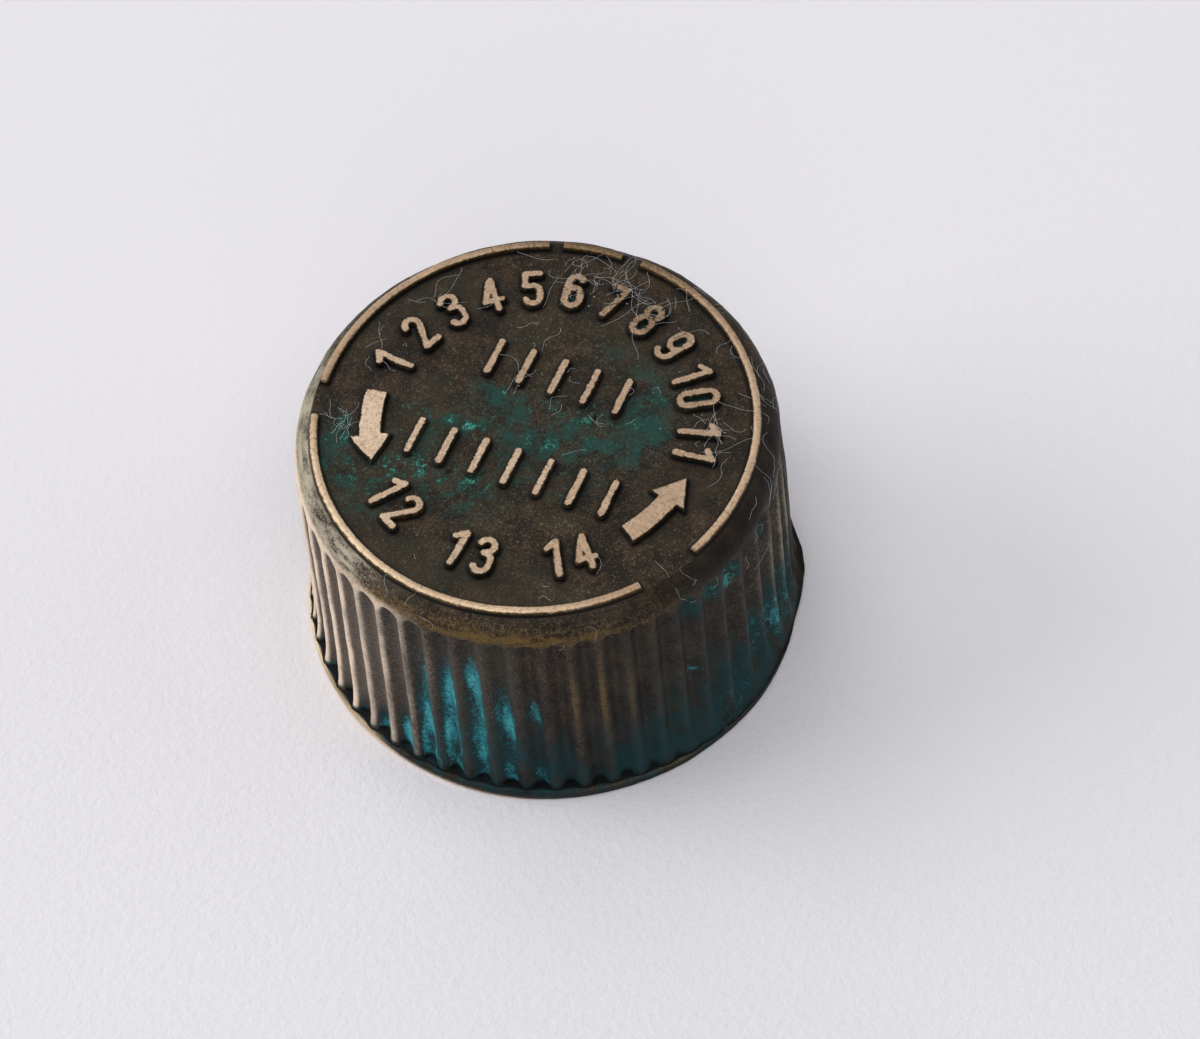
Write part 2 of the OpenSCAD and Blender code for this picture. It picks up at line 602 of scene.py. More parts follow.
@dataclass(frozen=True)
class PlatePatina:
    """Spread of the patina on the plate, as soft-edged areas over x and y.

    Attributes:
        crust: Verdigris that has grown thick and pale.
        olive: Brown that turns to ochre.
        dull: Relief that has stayed dull.
        bright: Relief that is rubbed bright.
        ring_bright: How bright the ring is, around the plate.
        cloud_size: Size in millimetres of the clouds in the verdigris.
        clump_size: Size of its clumps.
        scuff_size: Size of the spots that dull relief keeps.
        foot_reach: How far grime reaches from the foot of the relief, in millimetres.
        crust_reach: How far from it crust still grows thicker.
    """

    green: Patches = areas(
        (3.0, 0.6, 5.0, 2.2, 0.9), (-3.4, 1.0, 2.4, 1.2, 0.7), (6.2, 3.0, 2.0, 3.0, 0.9),
        (4.0, 6.6, 3.4, 1.8, 0.4), (8.4, 4.0, 1.4, 2.4, 0.4), (-0.5, -1.6, 3.0, 1.0, 0.7),
        (-4.6, -1.9, 3.8, 0.9, 0.8), (-6.6, -3.4, 1.2, 1.8, 0.6), (-3.0, -5.8, 4.2, 1.8, 0.8),
        (-12.0, -5.9, 1.4, 2.4, 1.0), (-8.8, -8.0, 2.8, 2.0, 0.8), (-2.0, -8.0, 3.4, 1.4, 0.4),
        (-8.2, -10.2, 2.0, 1.0, 0.5), (-10.4, 3.8, 0.8, 0.6, 0.5), (2.6, -3.6, 4.0, 1.6, 0.5),
        (1.0, -10.4, 2.0, 1.0, 0.3),
    )
    crust: Patches = areas(
        (3.2, 1.5, 2.2, 0.5, 1.0), (-2.9, 1.6, 0.3, 0.3, 1.0), (-0.6, 1.4, 1.0, 0.4, 0.6),
        (6.4, 3.2, 0.6, 2.2, 0.5), (-4.2, -1.7, 1.8, 0.4, 1.0), (0.8, -1.3, 1.2, 0.4, 1.0),
        (-8.0, -1.9, 1.0, 0.4, 0.6), (-4.8, -5.9, 1.8, 0.9, 1.1), (-1.0, -5.6, 1.6, 0.6, 0.8),
        (-7.6, -6.6, 0.8, 1.0, 0.7), (-12.3, -5.8, 0.9, 1.6, 1.5), (-9.6, -7.6, 1.6, 1.0, 0.6),
        (-8.8, -9.2, 0.8, 0.6, 0.6), (2.6, 2.6, 0.8, 0.5, 0.5), (3.6, -0.6, 2.0, 0.8, 0.4),
    )
    olive: Patches = areas(
        (5.0, -7.5, 4.0, 2.5, 1.0), (-1.0, 8.0, 5.0, 2.0, 0.7), (-3.0, -9.5, 4.0, 1.5, 0.8),
    )
    dull: Patches = areas(
        (0.5, 12.0, 3.0, 2.4, 0.9), (4.5, 10.5, 2.4, 2.2, 1.0), (9.6, 5.2, 1.8, 2.4, 0.4),
    )
    bright: Patches = areas(
        (-11.0, -4.0, 4.0, 5.0, 0.5), (-1.0, -4.0, 8.0, 2.4, 0.3), (-4.0, -11.0, 8.0, 3.0, 0.3),
    )
    soiled: Patches = areas(
        (6.0, 9.5, 5.0, 4.0, 0.38), (-8.5, 7.5, 4.5, 4.5, 0.36), (11.5, 0.0, 3.0, 6.0, 0.36),
        (1.0, -12.6, 9.0, 2.0, 0.34), (-12.0, 2.0, 2.0, 4.0, 0.3),
    )
    dust: Patches = areas(
        (1.5, 12.0, 4.0, 3.0, 0.8), (10.0, 6.0, 3.5, 4.0, 0.6), (-3.0, 2.5, 2.5, 2.0, 0.5),
        (-12.0, -5.0, 1.5, 2.5, 0.5), (2.0, 1.0, 6.0, 3.0, 0.4), (-2.0, -9.0, 6.0, 3.0, 0.3),
    )
    ring_bright: Bells = bells(
        (-118, 24, 0.8), (-150, 22, 0.6), (-74, 28, 0.75), (-10, 34, 0.55), (32, 30, 0.45),
        (62, 20, 0.15), (148, 24, 0.5), (120, 16, 0.15), (176, 14, 0.3),
    )
    cloud_size: float = 2.4
    clump_size: float = 0.8
    scuff_size: float = 0.32
    foot_reach: float = 0.3
    crust_reach: float = 0.8

    def masks(self, sizes: CapSizes, grain: Grain, relief: Relief) -> Masks:
        """Values for the finish of the plate.

        The flat top of the relief is rubbed, dark grime lies along its foot, and verdigris
        keeps to the ground between and to the spaces that the figures enclose.

        Args:
            sizes: Sizes of the casting.
            grain: Random values of the plate.
            relief: The places and the relief around them.

        Returns:
            The masks, one value for each place.
        """
        x, y = relief.plane.T
        distance, raised = relief.distance, relief.raised
        flat = np.column_stack([relief.plane, np.zeros(len(x))])
        clouds = grain(flat, self.cloud_size, 3)
        scuffs = grain(flat, self.scuff_size, 2)
        clumps = smooth(-0.3, 0.5, grain(flat, self.clump_size, 3))

        across = np.abs(np.hypot(x, y) - sizes.plate_r + sizes.ring_w / 2)
        on_ring = smooth(0.45, 0.36, across)
        dull = painted(self.dull, x, y, False)
        bright = 0.5 + 0.45 * painted(self.bright, x, y, False) - 0.3 * dull
        ring_bright = around(self.ring_bright, np.degrees(np.arctan2(y, x)))
        bright = bright + (ring_bright - bright) * on_ring
        worn_top = smooth(0.04, -0.07, distance)
        rub = raised * (worn_top + (smooth(0.31, 0.2, across) - worn_top) * on_ring)
        rub = rub * (1 - 0.35 * dull * smooth(0.1, 0.6, scuffs))

        off_top = np.maximum(distance, 0)
        foot = bell(off_top, self.foot_reach) * smooth(0.0, relief.wall_run, distance)
        soiled = np.maximum(foot, painted(self.soiled, x, y, False) + 0.3 * foot)
        green = painted(self.green, x, y, False) * (0.5 + 0.35 * clouds + 0.6 * clumps)
        green = np.maximum(green, 0.9 * relief.enclosed) * (1 - raised)
        crust = painted(self.crust, x, y, False) * (0.6 + 0.4 * bell(off_top, self.crust_reach))
        crust = np.maximum(crust * clumps, 0.3 * relief.enclosed) * (1 - raised)
        return blank(len(x)) | {
            Mask.RUB: rub,
            Mask.GRIME: soiled * (1 - 0.5 * green),
            Mask.GREEN: green,
            Mask.CRUST: crust,
            Mask.OCHRE: (0.3 + 0.45 * on_ring) * raised + 0.3 * painted(self.olive, x, y, False),
            Mask.BRIGHT: bright,
            Mask.LEAFY: np.ones(len(x)),
            Mask.DUST: painted(self.dust, x, y, False),
        }


@dataclass(frozen=True)
class TopPlate:
    """The round plate with its ring, arrows, numbers and bars.

    Its surface is a disc of rings, ring k with 6k vertices, lifted by the relief. A side wall
    and a flat underside close it, and the underside is the flat end of the bore.

    Attributes:
        ring_rows: Rows of vertices over the raised ring.
        wall_run: How far the sides of the relief run out, in millimetres.
        wear: How far its edges stray.
        wear_sizes: Sizes of the coarse and the fine part of that.
        hollow_r: Radii at which an enclosed space starts and is deepest.
        ring_breaks: Azimuths between which the raised ring is missing.
        beads: x, y and radius of each bead of metal on the plate.
        field_waves: Size and height of the plate's unevenness.
        top_waves: The same for the relief, as a share of its height.
        ring_round: How much lower the ring's sides are than its middle, as a share.
        proud: How far anything may stand above the relief.
        seat_w: How far the underside reaches past the bore.
    """

    sizes: CapSizes
    grain: Grain = Grain(11)
    patina: PlatePatina = PlatePatina()
    rings: int = 174
    ring_rows: int = 8
    wall_run: float = 0.1
    wear: float = 0.035
    wear_sizes: tuple[float, float] = (0.9, 0.3)
    hollow_r: tuple[float, float] = (0.6, 0.3)
    stroke: float = 0.52
    digit_gap: float = 0.95
    mark_reach: float = 2.6
    ring_breaks: tuple[tuple[float, float], ...] = ((84, 90), (106, 110), (188, 199), (321, 338))
    first_number_at: float = 174.0
    upper_numbers: int = 11
    digit_room: float = 1.75
    number_gap: float = 1.1
    lower_numbers: tuple[tuple[int, float], ...] = ((12, 237.0), (13, 271.5), (14, 306.0))
    arrow_starts: tuple[float, ...] = (188.0, 327.0)
    arrow_turn: float = 19.0
    arrow_w: float = 1.45
    arrow_reach: float = 5.0
    head_w: float = 2.8
    head_l: float = 2.15
    bar_l: float = 3.1
    bar_pitch: float = 2.34
    row_gap: float = 7.8
    row_counts: tuple[int, ...] = (5, 7)
    beads: tuple[tuple[float, float, float], ...] = (
        (-6.3, -8.1, 0.3), (-6.6, -5.1, 0.22), (-4.0, -5.6, 0.2), (3.4, 1.9, 0.16),
    )
    bead_rise: float = 1.1
    field_waves: Waves = ((2.8, 0.02), (0.35, 0.008))
    top_waves: Waves = ((1.6, 0.06),)
    ring_round: float = 0.25
    proud: float = 0.015
    seat_w: float = 0.3

    def number(self, value: int, azimuth: float, outward: bool) -> Iterable[Mark]:
        """Digits of one number on the band.

        Args:
            value: The number.
            azimuth: Where its middle stands.
            outward: Whether its top points away from the middle of the plate.

        Yields:
            One mark for each digit.
        """
        text = str(value)
        reading = -1 if outward else 1
        step = reading * math.degrees(2 * self.digit_gap / self.sizes.band_r)
        for i, digit in enumerate(text):
            a = azimuth + (i - (len(text) - 1) / 2) * step
            x = self.sizes.band_r * math.cos(math.radians(a))
            y = self.sizes.band_r * math.sin(math.radians(a))
            turn = a - 90 if outward else a + 90
            paths = tuple(placed(p, x, y, turn) for p in Digits.strokes(digit))
            hollows = placed(Digits.hollows(digit), x, y, turn)
            yield Mark(paths, self.stroke, (x, y), self.mark_reach, hollows)

    def arrow(self, start: float) -> Mark:
        """Block arrow bent around the middle, pointing counterclockwise.

        Args:
            start: Azimuth at which its shaft starts, in degrees.

        Returns:
            The mark.
        """
        r, end = self.sizes.band_r, start + self.arrow_turn
        tip = math.radians(end)
        outward = np.array([math.cos(tip), math.sin(tip)])
        onward = np.array([-math.sin(tip), math.cos(tip)])
        head = [
            outward * (r - self.head_w / 2),
            outward * r + onward * self.head_l,
            outward * (r + self.head_w / 2),
        ]
        outline = join(
            arc(0, 0, r - self.arrow_w / 2, start, end, 10),
            np.array(head),
            arc(0, 0, r + self.arrow_w / 2, end, start, 10),
        )
        return Mark((outline,), 0.0, tuple(outline.mean(0)), self.arrow_reach)

    def bar(self, x: float, y: float) -> Mark:
        """Upright bar with round ends."""
        half = (self.bar_l - self.stroke) / 2
        upright = line((x, y - half), (x, y + half))
        return Mark((upright,), self.stroke, (x, y), self.mark_reach)

    def marks(self) -> list[Mark]:
        """Lays out the arrows, the numbers and the two rows of bars.

        Returns:
            All raised shapes but the ring.
        """
        found = [self.arrow(a) for a in self.arrow_starts]
        azimuth = self.first_number_at
        for value in range(1, self.upper_numbers + 1):
            found += self.number(value, azimuth, True)
            room = self.digit_room * (len(str(value)) + len(str(value + 1))) / 2
            azimuth -= math.degrees((room + self.number_gap) / self.sizes.band_r)
        for value, azimuth in self.lower_numbers:
            found += self.number(value, azimuth, False)
        for row, count in enumerate(self.row_counts):
            for i in range(count):
                x = (i - (count - 1) / 2) * self.bar_pitch
                found.append(self.bar(x, (0.5 - row) * self.row_gap))
        return found

    def ring_distance(self, points: Array) -> Array:
        """Signed distance to the ring: across it, or back from the end of a break.

        Args:
            points: Places in the plane.

        Returns:
            The distances, negative on top of the ring.
        """
        r = np.hypot(*points.T)
        azimuth = np.degrees(np.arctan2(points[:, 1], points[:, 0]))
        half_w = self.sizes.ring_w / 2
        distance = np.abs(r - self.sizes.plate_r + half_w) - half_w + self.wall_run
        for start, stop in self.ring_breaks:
            half = (stop - start) / 2
            into = half - np.abs(turn_between(azimuth, start + half))
            distance = np.maximum(distance, np.radians(into) * r)
        return distance

    def ring_radii(self) -> Array:
        """Radii of the disc's rings, with rings on both edges of the raised ring."""
        s, last, wall = self.sizes, self.rings, self.wall_run
        inner, outer, foot = s.plate_r - s.ring_w, s.plate_r, last - self.ring_rows
        knots_k = np.array([0, foot, foot + 1, last - 1, last])
        knots_r = np.array([0, inner, inner + wall, outer - wall, outer])
        return np.interp(np.arange(last + 1), knots_k, knots_r)

    def edge_distance(self, plane: Array) -> tuple[Array, Array]:
        """Distance to the nearest raised edge, and depth in an enclosed hollow.

        Args:
            plane: Places in the plane.

        Returns:
            The signed distance, negative on top of the relief, with the edges a little worn;
            and a value from 0 to 1 that is high inside closed figures.
        """
        flat = np.column_stack([plane, np.zeros(len(plane))])
        coarse, fine = self.wear_sizes
        wear = self.wear * (self.grain(flat, coarse, 2) + 0.6 * self.grain(flat, fine))
        distance = self.ring_distance(plane) + 0.6 * wear
        hollow = np.zeros(len(plane))
        for mark in self.marks():
            near = np.hypot(*(plane - mark.centre).T) < mark.reach
            found = mark.distance(plane[near]) + wear[near]
            distance[near] = np.minimum(distance[near], found)
            for x, y in mark.hollows:
                off = np.hypot(plane[near, 0] - x, plane[near, 1] - y)
                hollow[near] = np.maximum(hollow[near], smooth(*self.hollow_r, off))
        return distance, hollow

    def settled(self, plane: Array) -> Array:
        """Moves the vertices next to an edge onto it.

        Where the signed distance d is within reach of the top edge or the foot of a wall, the
        vertex moves by (level - d) along the slope of d, so both edges run through vertices.

        Args:
            plane: Places in the plane.

        Returns:
            The new places.
        """
        step = 0.005
        d = self.edge_distance(plane)[0]
        slope = [self.edge_distance(plane + side)[0] - d for side in ((step, 0.0), (0.0, step))]
        slope = np.stack(slope, -1) / step
        steep = np.linalg.norm(slope, axis=1)
        inside = (steep > 0.5) & (np.hypot(*plane.T) < self.sizes.plate_r - 0.04)
        moved = plane.copy()
        for level in (0.0, self.wall_run):
            near = inside & (np.abs(d - level) < self.wall_run / 2)
            moved[near] += ((level - d) / steep**2)[near, None] * slope[near]
        return moved

    def disc(self) -> tuple[Array, Array]:
        """Vertices and triangles of the disc, seen from above.

        Ring k has 6k vertices, k in each of six sectors. Outward triangles join vertex i and
        i + 1 of ring k to vertex i of ring k - 1; inward ones join i and i + 1 of ring k - 1
        to vertex i + 1 of ring k.

        Returns:
            The places in the plane and the vertex numbers.
        """
        radii = self.ring_radii()
        k = np.repeat(np.arange(1, self.rings + 1), 6 * np.arange(1, self.rings + 1))
        first = 1 + 3 * k * (k - 1)
        number = np.arange(1, 1 + 3 * self.rings * (self.rings + 1))
        along = number - first
        plane = placed_around(radii[k], 2 * np.pi * along / (6 * k), 0 * k)[:, :2]
        plane = np.concatenate([[[0.0, 0.0]], plane])
        sector, i = along // k, along % k
        inner_count = np.maximum(6 * (k - 1), 1)
        inner_first = np.where(k > 1, 1 + 3 * (k - 1) * (k - 2), 0)
        inner = inner_first + (sector * (k - 1) + i) % inner_count
        inner_next = inner_first + (sector * (k - 1) + i + 1) % inner_count
        outer_next = first + (along + 1) % (6 * k)
        outward = np.stack([number, outer_next, inner], -1)
        inward = np.stack([inner, outer_next, inner_next], -1)[i < k - 1]
        return plane, np.concatenate([outward, inward])

    def lifted(self, plane: Array, raised: Array) -> Array:
        """Heights of the surface over the plate.

        The relief is a little uneven and its ring rounded, the ground between is uneven too,
        and a bead is a flat dome: bead_rise * sqrt(radius^2 - distance^2).

        Args:
            plane: Places in the plane.
            raised: Relative height of the relief, 0 to 1.

        Returns:
            The heights in millimetres.
        """
        s = self.sizes
        flat = np.column_stack([plane, np.zeros(len(plane))])
        height = s.relief_h * raised * (1 + self.grain.waves(flat, self.top_waves))
        across = np.abs(np.hypot(*plane.T) - s.plate_r + s.ring_w / 2) / (s.ring_w / 2)
        height *= 1 - self.ring_round * np.where(across < 1, across**2, 0)
        height += self.grain.waves(flat, self.field_waves)
        for x, y, radius in self.beads:
            d = np.hypot(plane[:, 0] - x, plane[:, 1] - y)
            dome = self.bead_rise * np.sqrt(np.maximum(radius**2 - d**2, 0))
            height = np.maximum(height, dome)
        return np.minimum(height, s.relief_h + self.proud)

    def build(self) -> bpy.types.Object:
        """Makes the plate.

        Returns:
            The plate's object, with its masks.
        """
        s = self.sizes
        plane, triangles = self.disc()
        plane = self.settled(plane)
        distance, enclosed = self.edge_distance(plane)
        raised = np.clip(1 - distance / self.wall_run, 0, 1)
        raised[np.hypot(*plane.T) > s.plate_r - 0.01] = 0
        upper = np.column_stack([plane, s.plate_z + self.lifted(plane, raised)])

        seat = upper[-6 * self.rings:] * (s.bore_r + self.seat_w) / s.plate_r
        seat[:, 2] = s.bore_depth
        points = np.concatenate([upper, seat, [[0, 0, s.bore_depth]]])
        n, count = len(upper), 6 * self.rings
        here, after = np.arange(count), (np.arange(count) + 1) % count
        wall = np.stack([n - count + here, n + here, n + after, n - count + after], -1)
        under = np.stack([n + after, n + here, np.full(count, n + count)], -1)

        relief = Relief(plane, distance, raised, enclosed, self.wall_run)
        masks = blank(len(points))
        for mask, values in self.patina.masks(s, self.grain, relief).items():
            masks[mask][:n] = values
        masks[Mask.GRIME][n:] = HIDDEN_GRIME
        return make_mesh("top_plate", points, [triangles, under, wall], masks, 50)


# ---------------------------------------------------------------- skirt


@dataclass(frozen=True, eq=False)
class SkirtGrid:
    """Places on the skirt and the zones they lie in, each as an array in the grid's shape.

    Attributes:
        sizes: Sizes of the casting.
        az: Azimuths in degrees.
        r: Radii.
        z: Heights.
        share: How far a row belongs to the fluted wall, as Skirt.section gives it.
        cut: Depth of the flute, 0 on a ridge and 1 at its bottom.
        lean: Place across the flute, from -1 on one ridge to 1 on the next.
    """

    sizes: CapSizes
    az: Array
    r: Array
    z: Array
    share: Array
    cut: Array
    lean: Array

    def painted(self, patches: Patches) -> Array:
        """Soft-edged areas over azimuth and height, up to 1."""
        return painted(patches, self.az, self.z, True)

    def places(self, drawn: float = 1.0) -> Array:
        """Places in space, one row each, with heights multiplied by drawn."""
        return placed_around(self.r, np.radians(self.az), self.z).reshape(-1, 3) * (1, 1, drawn)

    @cached_property
    def outside(self) -> Array:
        """Whether a place lies outside the bore."""
        return self.r > self.sizes.bore_r + 0.4

    @cached_property
    def above(self) -> Array:
        """Whether a place lies above the flange, its top face included."""
        return self.z > self.sizes.flange_t - 0.02

    @cached_property
    def shoulder(self) -> Array:
        """1 on the shoulder, rising from 0 just above the rim."""
        return smooth(self.sizes.rim_z + 0.2, self.sizes.rim_z + 0.6, self.z)

    @cached_property
    def ridge(self) -> Array:
        """1 on the tops of the ridges, up to the shoulder."""
        s = self.sizes
        off_flange = smooth(s.flange_t - 0.02, s.flange_t + 0.4, self.z)
        return smooth(0.4, 0.0, self.cut) * (self.above * (1 - self.shoulder)) * off_flange

    @cached_property
    def flute(self) -> Array:
        """1 in the flutes, rising from 0 at their sides."""
        return smooth(0.1, 0.6, self.cut) * self.above

    @cached_property
    def rim(self) -> Array:
        """1 where the ridges turn into the shoulder, with soft ends below and above."""
        s = self.sizes
        below, over = (s.rim_z - 1.6, s.rim_z - 0.6), (s.rim_z + 1.2, s.rim_z + 0.5)
        return smooth(*below, self.z) * smooth(*over, self.z) * smooth(0.35, 0.05, self.cut)

    @cached_property
    def edge(self) -> Array:
        """1 on the flange's outer edge."""
        return bell(self.r - self.sizes.flange_r, 0.2) * (self.share < 0.3)

    @cached_property
    def upper_edge(self) -> Array:
        """1 on the upper half of the flange's outer edge."""
        s = self.sizes
        return self.edge * smooth(s.flange_t - 0.3, s.flange_t - 0.1, self.z)


@dataclass(frozen=True)
class SkirtPatina:
    """Spread of the patina on the skirt, as soft-edged areas over azimuth and height.

    Names with rub are bare metal, green verdigris, crust its pale form, ochre yellow-brown
    wear, pale chalk and soiled grime, with painted shade at the flange and the flutes' feet.
    Shaded, sheen, reflection and highlight name painted light and shade. Sizes and reaches are
    in millimetres.

    Attributes:
        flange_line: Bare metal on the upper half of the flange's edge.
        flange_shaded: Painted shade on that half.
        bright: How bright bare metal is.
        leafy: Where verdigris is green rather than blue.
        foot_crust: The line of crust at the foot of the flutes.
        flute_pale: Grey film in the flutes, with painted light: lighter on the half of each flute
            that faces the lamps, and in the shaded flute bottoms near azimuth -124.
        shoulder_tan: The same film on the shoulder.
        dust: Specks of dust.
        streak_drawn: How much closer together the heights lie for a streak.
        foot_reach: How far grime and painted shade reach up from the flange.
        groove_reach: How far it reaches from the groove outside the raised ring.
    """

    ridge_rub: Patches = areas(
        (-145, 10.0, 30, 30, 1.1), (-121, 10.0, 8, 24, 0.4), (-106, 10.0, 8, 20, 0.36),
        (-94, 14.0, 6, 5, 0.12), (150, 10.0, 42, 20, 0.8), (5, 12.0, 16, 8, 0.3),
        (60, 10.0, 30, 10, 0.3),
    )
    rim_rub: Patches = areas(
        (-145, 18.2, 34, 3.0, 1.0), (-106, 18.0, 8, 1.0, 0.5), (150, 18.2, 42, 2.0, 0.7),
    )
    # Rubbed metal on the flange's edge; the rows low on the edge at the left and front are also a
    # painted reflection on its lowest rim.
    flange_rub: Patches = areas(
        (-142, 0.25, 26, 0.35, 1.1), (-118, 0.3, 10, 0.5, 1.1), (-92, 0.1, 24, 0.2, 1.1),
        (150, 0.6, 40, 0.6, 0.5),
    )
    flange_line: Patches = areas(
        (-148, 0.8, 22, 0.6, 1.1), (-116, 0.8, 7, 0.6, 0.5), (-35, 0.85, 28, 0.25, 0.32),
    )
    # Painted shade on the upper half of the flange's edge near azimuth -98.
    flange_shaded: Patches = areas((-98, 0.9, 16, 0.6, 0.7))
    # Ochre on the flange's edge; the row at -88 low on the edge is a painted reflection.
    flange_ochre: Patches = areas(
        (-125, 0.4, 18, 0.8, 1.0), (-150, 0.5, 30, 1.0, 0.8), (150, 0.5, 40, 1.0, 0.7),
        (-88, 0.1, 20, 0.2, 0.7), (-40, 0.85, 34, 0.2, 0.6),
    )
    bright: Patches = areas(
        (-145, 10.0, 40, 30, 1.0), (-103, 10.0, 12, 30, 0.66), (-121, 10.0, 10, 30, 0.22),
        (-108, 0.3, 20, 1.0, 0.6), (150, 10.0, 50, 30, 0.7), (-75, 10.0, 30, 30, 0.4),
        (0, 10.0, 60, 30, 0.4), (80, 10.0, 60, 30, 0.5),
    )
    green: Patches = areas(
        (-60, 1.6, 28, 4.4, 0.7), (-38, 8.0, 18, 6.0, 0.4), (-25, 2.0, 22, 4.6, 0.56),
        (-24, 16.4, 9, 1.5, 0.8), (-16, 16.6, 5, 1.6, 0.9), (-1, 15.9, 3, 1.4, 1.0),
        (-30, 17.5, 3, 1.0, 0.6), (-18, 5.5, 9, 4.0, 0.8), (-2, 5.0, 9, 4.6, 0.9),
        (14, 5.5, 12, 5.5, 0.9), (40, 5.0, 14, 5.0, 0.6), (90, 3.0, 25, 3.0, 0.5),
        (160, 2.5, 20, 2.5, 0.4), (-86, 5.0, 18, 6.0, 0.65), (-112, 1.4, 14, 1.4, 0.6),
        (-140, 1.2, 22, 0.8, 0.9),
    )
    leafy: Patches = areas((5, 15.5, 36, 8.0, 0.85))
    flute_green: Patches = areas(
        (-130, 2.2, 3.0, 1.8, 0.7), (-116, 1.8, 6.0, 1.4, 0.7), (-110, 2.0, 3.0, 1.8, 0.9),
        (-103, 2.6, 3.0, 3.4, 1.0), (-96, 5.0, 3.6, 7.0, 1.3), (-89, 6.6, 3.8, 7.6, 1.3),
        (-82.5, 6.8, 3.8, 7.4, 1.3), (-75.5, 6.8, 3.6, 6.0, 1.2), (-69, 6.8, 3.0, 4.6, 0.9),
        (-63, 3.0, 3.2, 3.6, 0.7),
    )
    # Crust in the flutes, set a little towards the lit half of each flute, so partly a painted
    # highlight; the low rows near -101, -95 and -88 are painted highlight.
    flute_crust: Patches = areas(
        (-129, 1.8, 2.4, 0.8, 0.4), (-110, 1.6, 2.6, 0.9, 0.7), (-102.0, 2.6, 2.6, 2.0, 1.3),
        (-95.3, 3.2, 3.0, 3.4, 2.0), (-95, 9.0, 2.4, 5.0, 1.2), (-88.4, 4.6, 2.8, 5.6, 1.9),
        (-88.2, 11.0, 2.2, 3.4, 0.9), (-81.8, 11.0, 2.6, 3.6, 2.1), (-81.4, 5.0, 2.2, 5.0, 1.2),
        (-75.2, 8.6, 2.6, 3.8, 1.1), (-68.2, 9.4, 1.8, 1.8, 0.9), (-76, 2.0, 2.4, 1.6, 0.6),
        (-69, 2.0, 2.4, 1.0, 0.4), (-101.5, 2.2, 2.0, 1.0, 0.6), (-94.6, 2.4, 2.0, 1.3, 0.8),
        (-88.0, 1.8, 1.6, 0.8, 0.5),
    )
    crust: Patches = areas(
        (-22, 16.4, 2.4, 1.0, 0.6), (-15.5, 15.8, 2.4, 1.6, 1.0), (-2, 15.9, 1.8, 1.2, 1.2),
        (-9, 6.5, 3.0, 2.6, 0.7), (2, 5.0, 4.0, 3.4, 0.8), (-29, 9.2, 2.4, 0.3, 0.8),
        (12, 5.0, 5.0, 4.0, 0.7), (-18, 3.0, 6.0, 2.0, 0.4),
    )
    foot_crust: Patches = areas(
        (-122, 1.4, 16, 2.0, 1.0), (-92, 1.4, 18, 2.0, 1.2), (-66, 1.4, 12, 2.0, 0.7),
    )
    # Grey film in the flutes; the row at -124 and 3.4 is painted light in the shaded flute bottoms.
    flute_pale: Patches = areas(
        (-145, 14.0, 26, 13, 1.1), (-115, 11.0, 15, 13, 0.72), (-124, 3.4, 14, 3.0, 0.35),
        (-84, 14.0, 20, 7, 0.3), (150, 10.0, 40, 14, 0.6), (8, 14.0, 16, 5, 0.25),
    )
    ridge_ochre: Patches = areas(
        (-59.4, 10.8, 2.2, 6.5, 0.7), (-52.7, 11.5, 1.9, 6.5, 0.8), (-46.0, 10.0, 2.2, 5.0, 0.6),
        (-65.8, 14.0, 2.2, 2.5, 0.4),
    )
    # Painted sheen: pale streaks on a few ridges between azimuth 0 and 20.
    ridge_pale: Patches = areas(
        (9.5, 11.0, 4, 7.0, 0.6), (18, 11.0, 5, 8.0, 0.65), (2.5, 12.0, 3, 6.0, 0.3),
    )
    shoulder_ochre: Patches = areas(
        (-84, 18.6, 26, 0.6, 0.52), (-55, 18.5, 20, 0.6, 0.5), (-30, 18.4, 12, 0.5, 0.25),
        (-80, 19.3, 30, 0.8, 0.36), (-108, 18.8, 10, 0.8, 0.4), (-150, 18.8, 30, 0.6, 0.4),
    )
    shoulder_pale: Patches = areas(
        (-162, 19.2, 30, 1.6, 0.85), (-138, 19.0, 14, 1.2, 0.36), (-118, 19.1, 8, 1.4, 0.8),
    )
    shoulder_tan: Patches = areas(
        (-128, 19.0, 20, 2.0, 0.9), (-165, 18.6, 22, 0.8, 0.6), (-88, 18.9, 22, 1.0, 0.22),
        (-52, 19.0, 16, 1.0, 0.24),
    )
    shoulder_soiled: Patches = areas(
        (-10, 19.0, 26, 1.6, 1.0), (25, 19.0, 20, 1.6, 0.8), (-45, 19.6, 14, 0.6, 0.3),
    )
    dust: Patches = areas(
        (-5, 16.5, 12, 2.0, 0.6), (-95, 17.5, 4, 0.8, 0.5), (60, 17.0, 40, 3.0, 0.5),
    )
    cloud_size: float = 3.0
    streak_size: float = 0.9
    streak_drawn: float = 0.35
    fine_size: float = 0.6
    wrinkle_size: float = 1.0
    foot_reach: float = 0.5
    groove_reach: float = 0.1

    def rubbed(self, g: SkirtGrid, streak: Array) -> Array:
        """Bare metal on ridges, rim and flange, with a painted reflection on the flange's lowest
        edge: the strongest of them at each place.
        """
        return np.maximum.reduce([
            g.ridge * g.painted(self.ridge_rub) * (0.9 + 0.3 * streak),
            g.rim * g.painted(self.rim_rub),
            g.edge * g.painted(self.flange_rub),
            g.upper_edge * g.painted(self.flange_line),
        ])

    def greened(self, g: SkirtGrid, streak: Array) -> Array:
        """Verdigris: the stronger of what covers all and what fills the flutes."""
        return np.maximum(
            g.painted(self.green) * (0.85 + 0.5 * streak),
            g.painted(self.flute_green) * (0.4 + 0.6 * g.flute) * (0.9 + 0.4 * streak),
        )

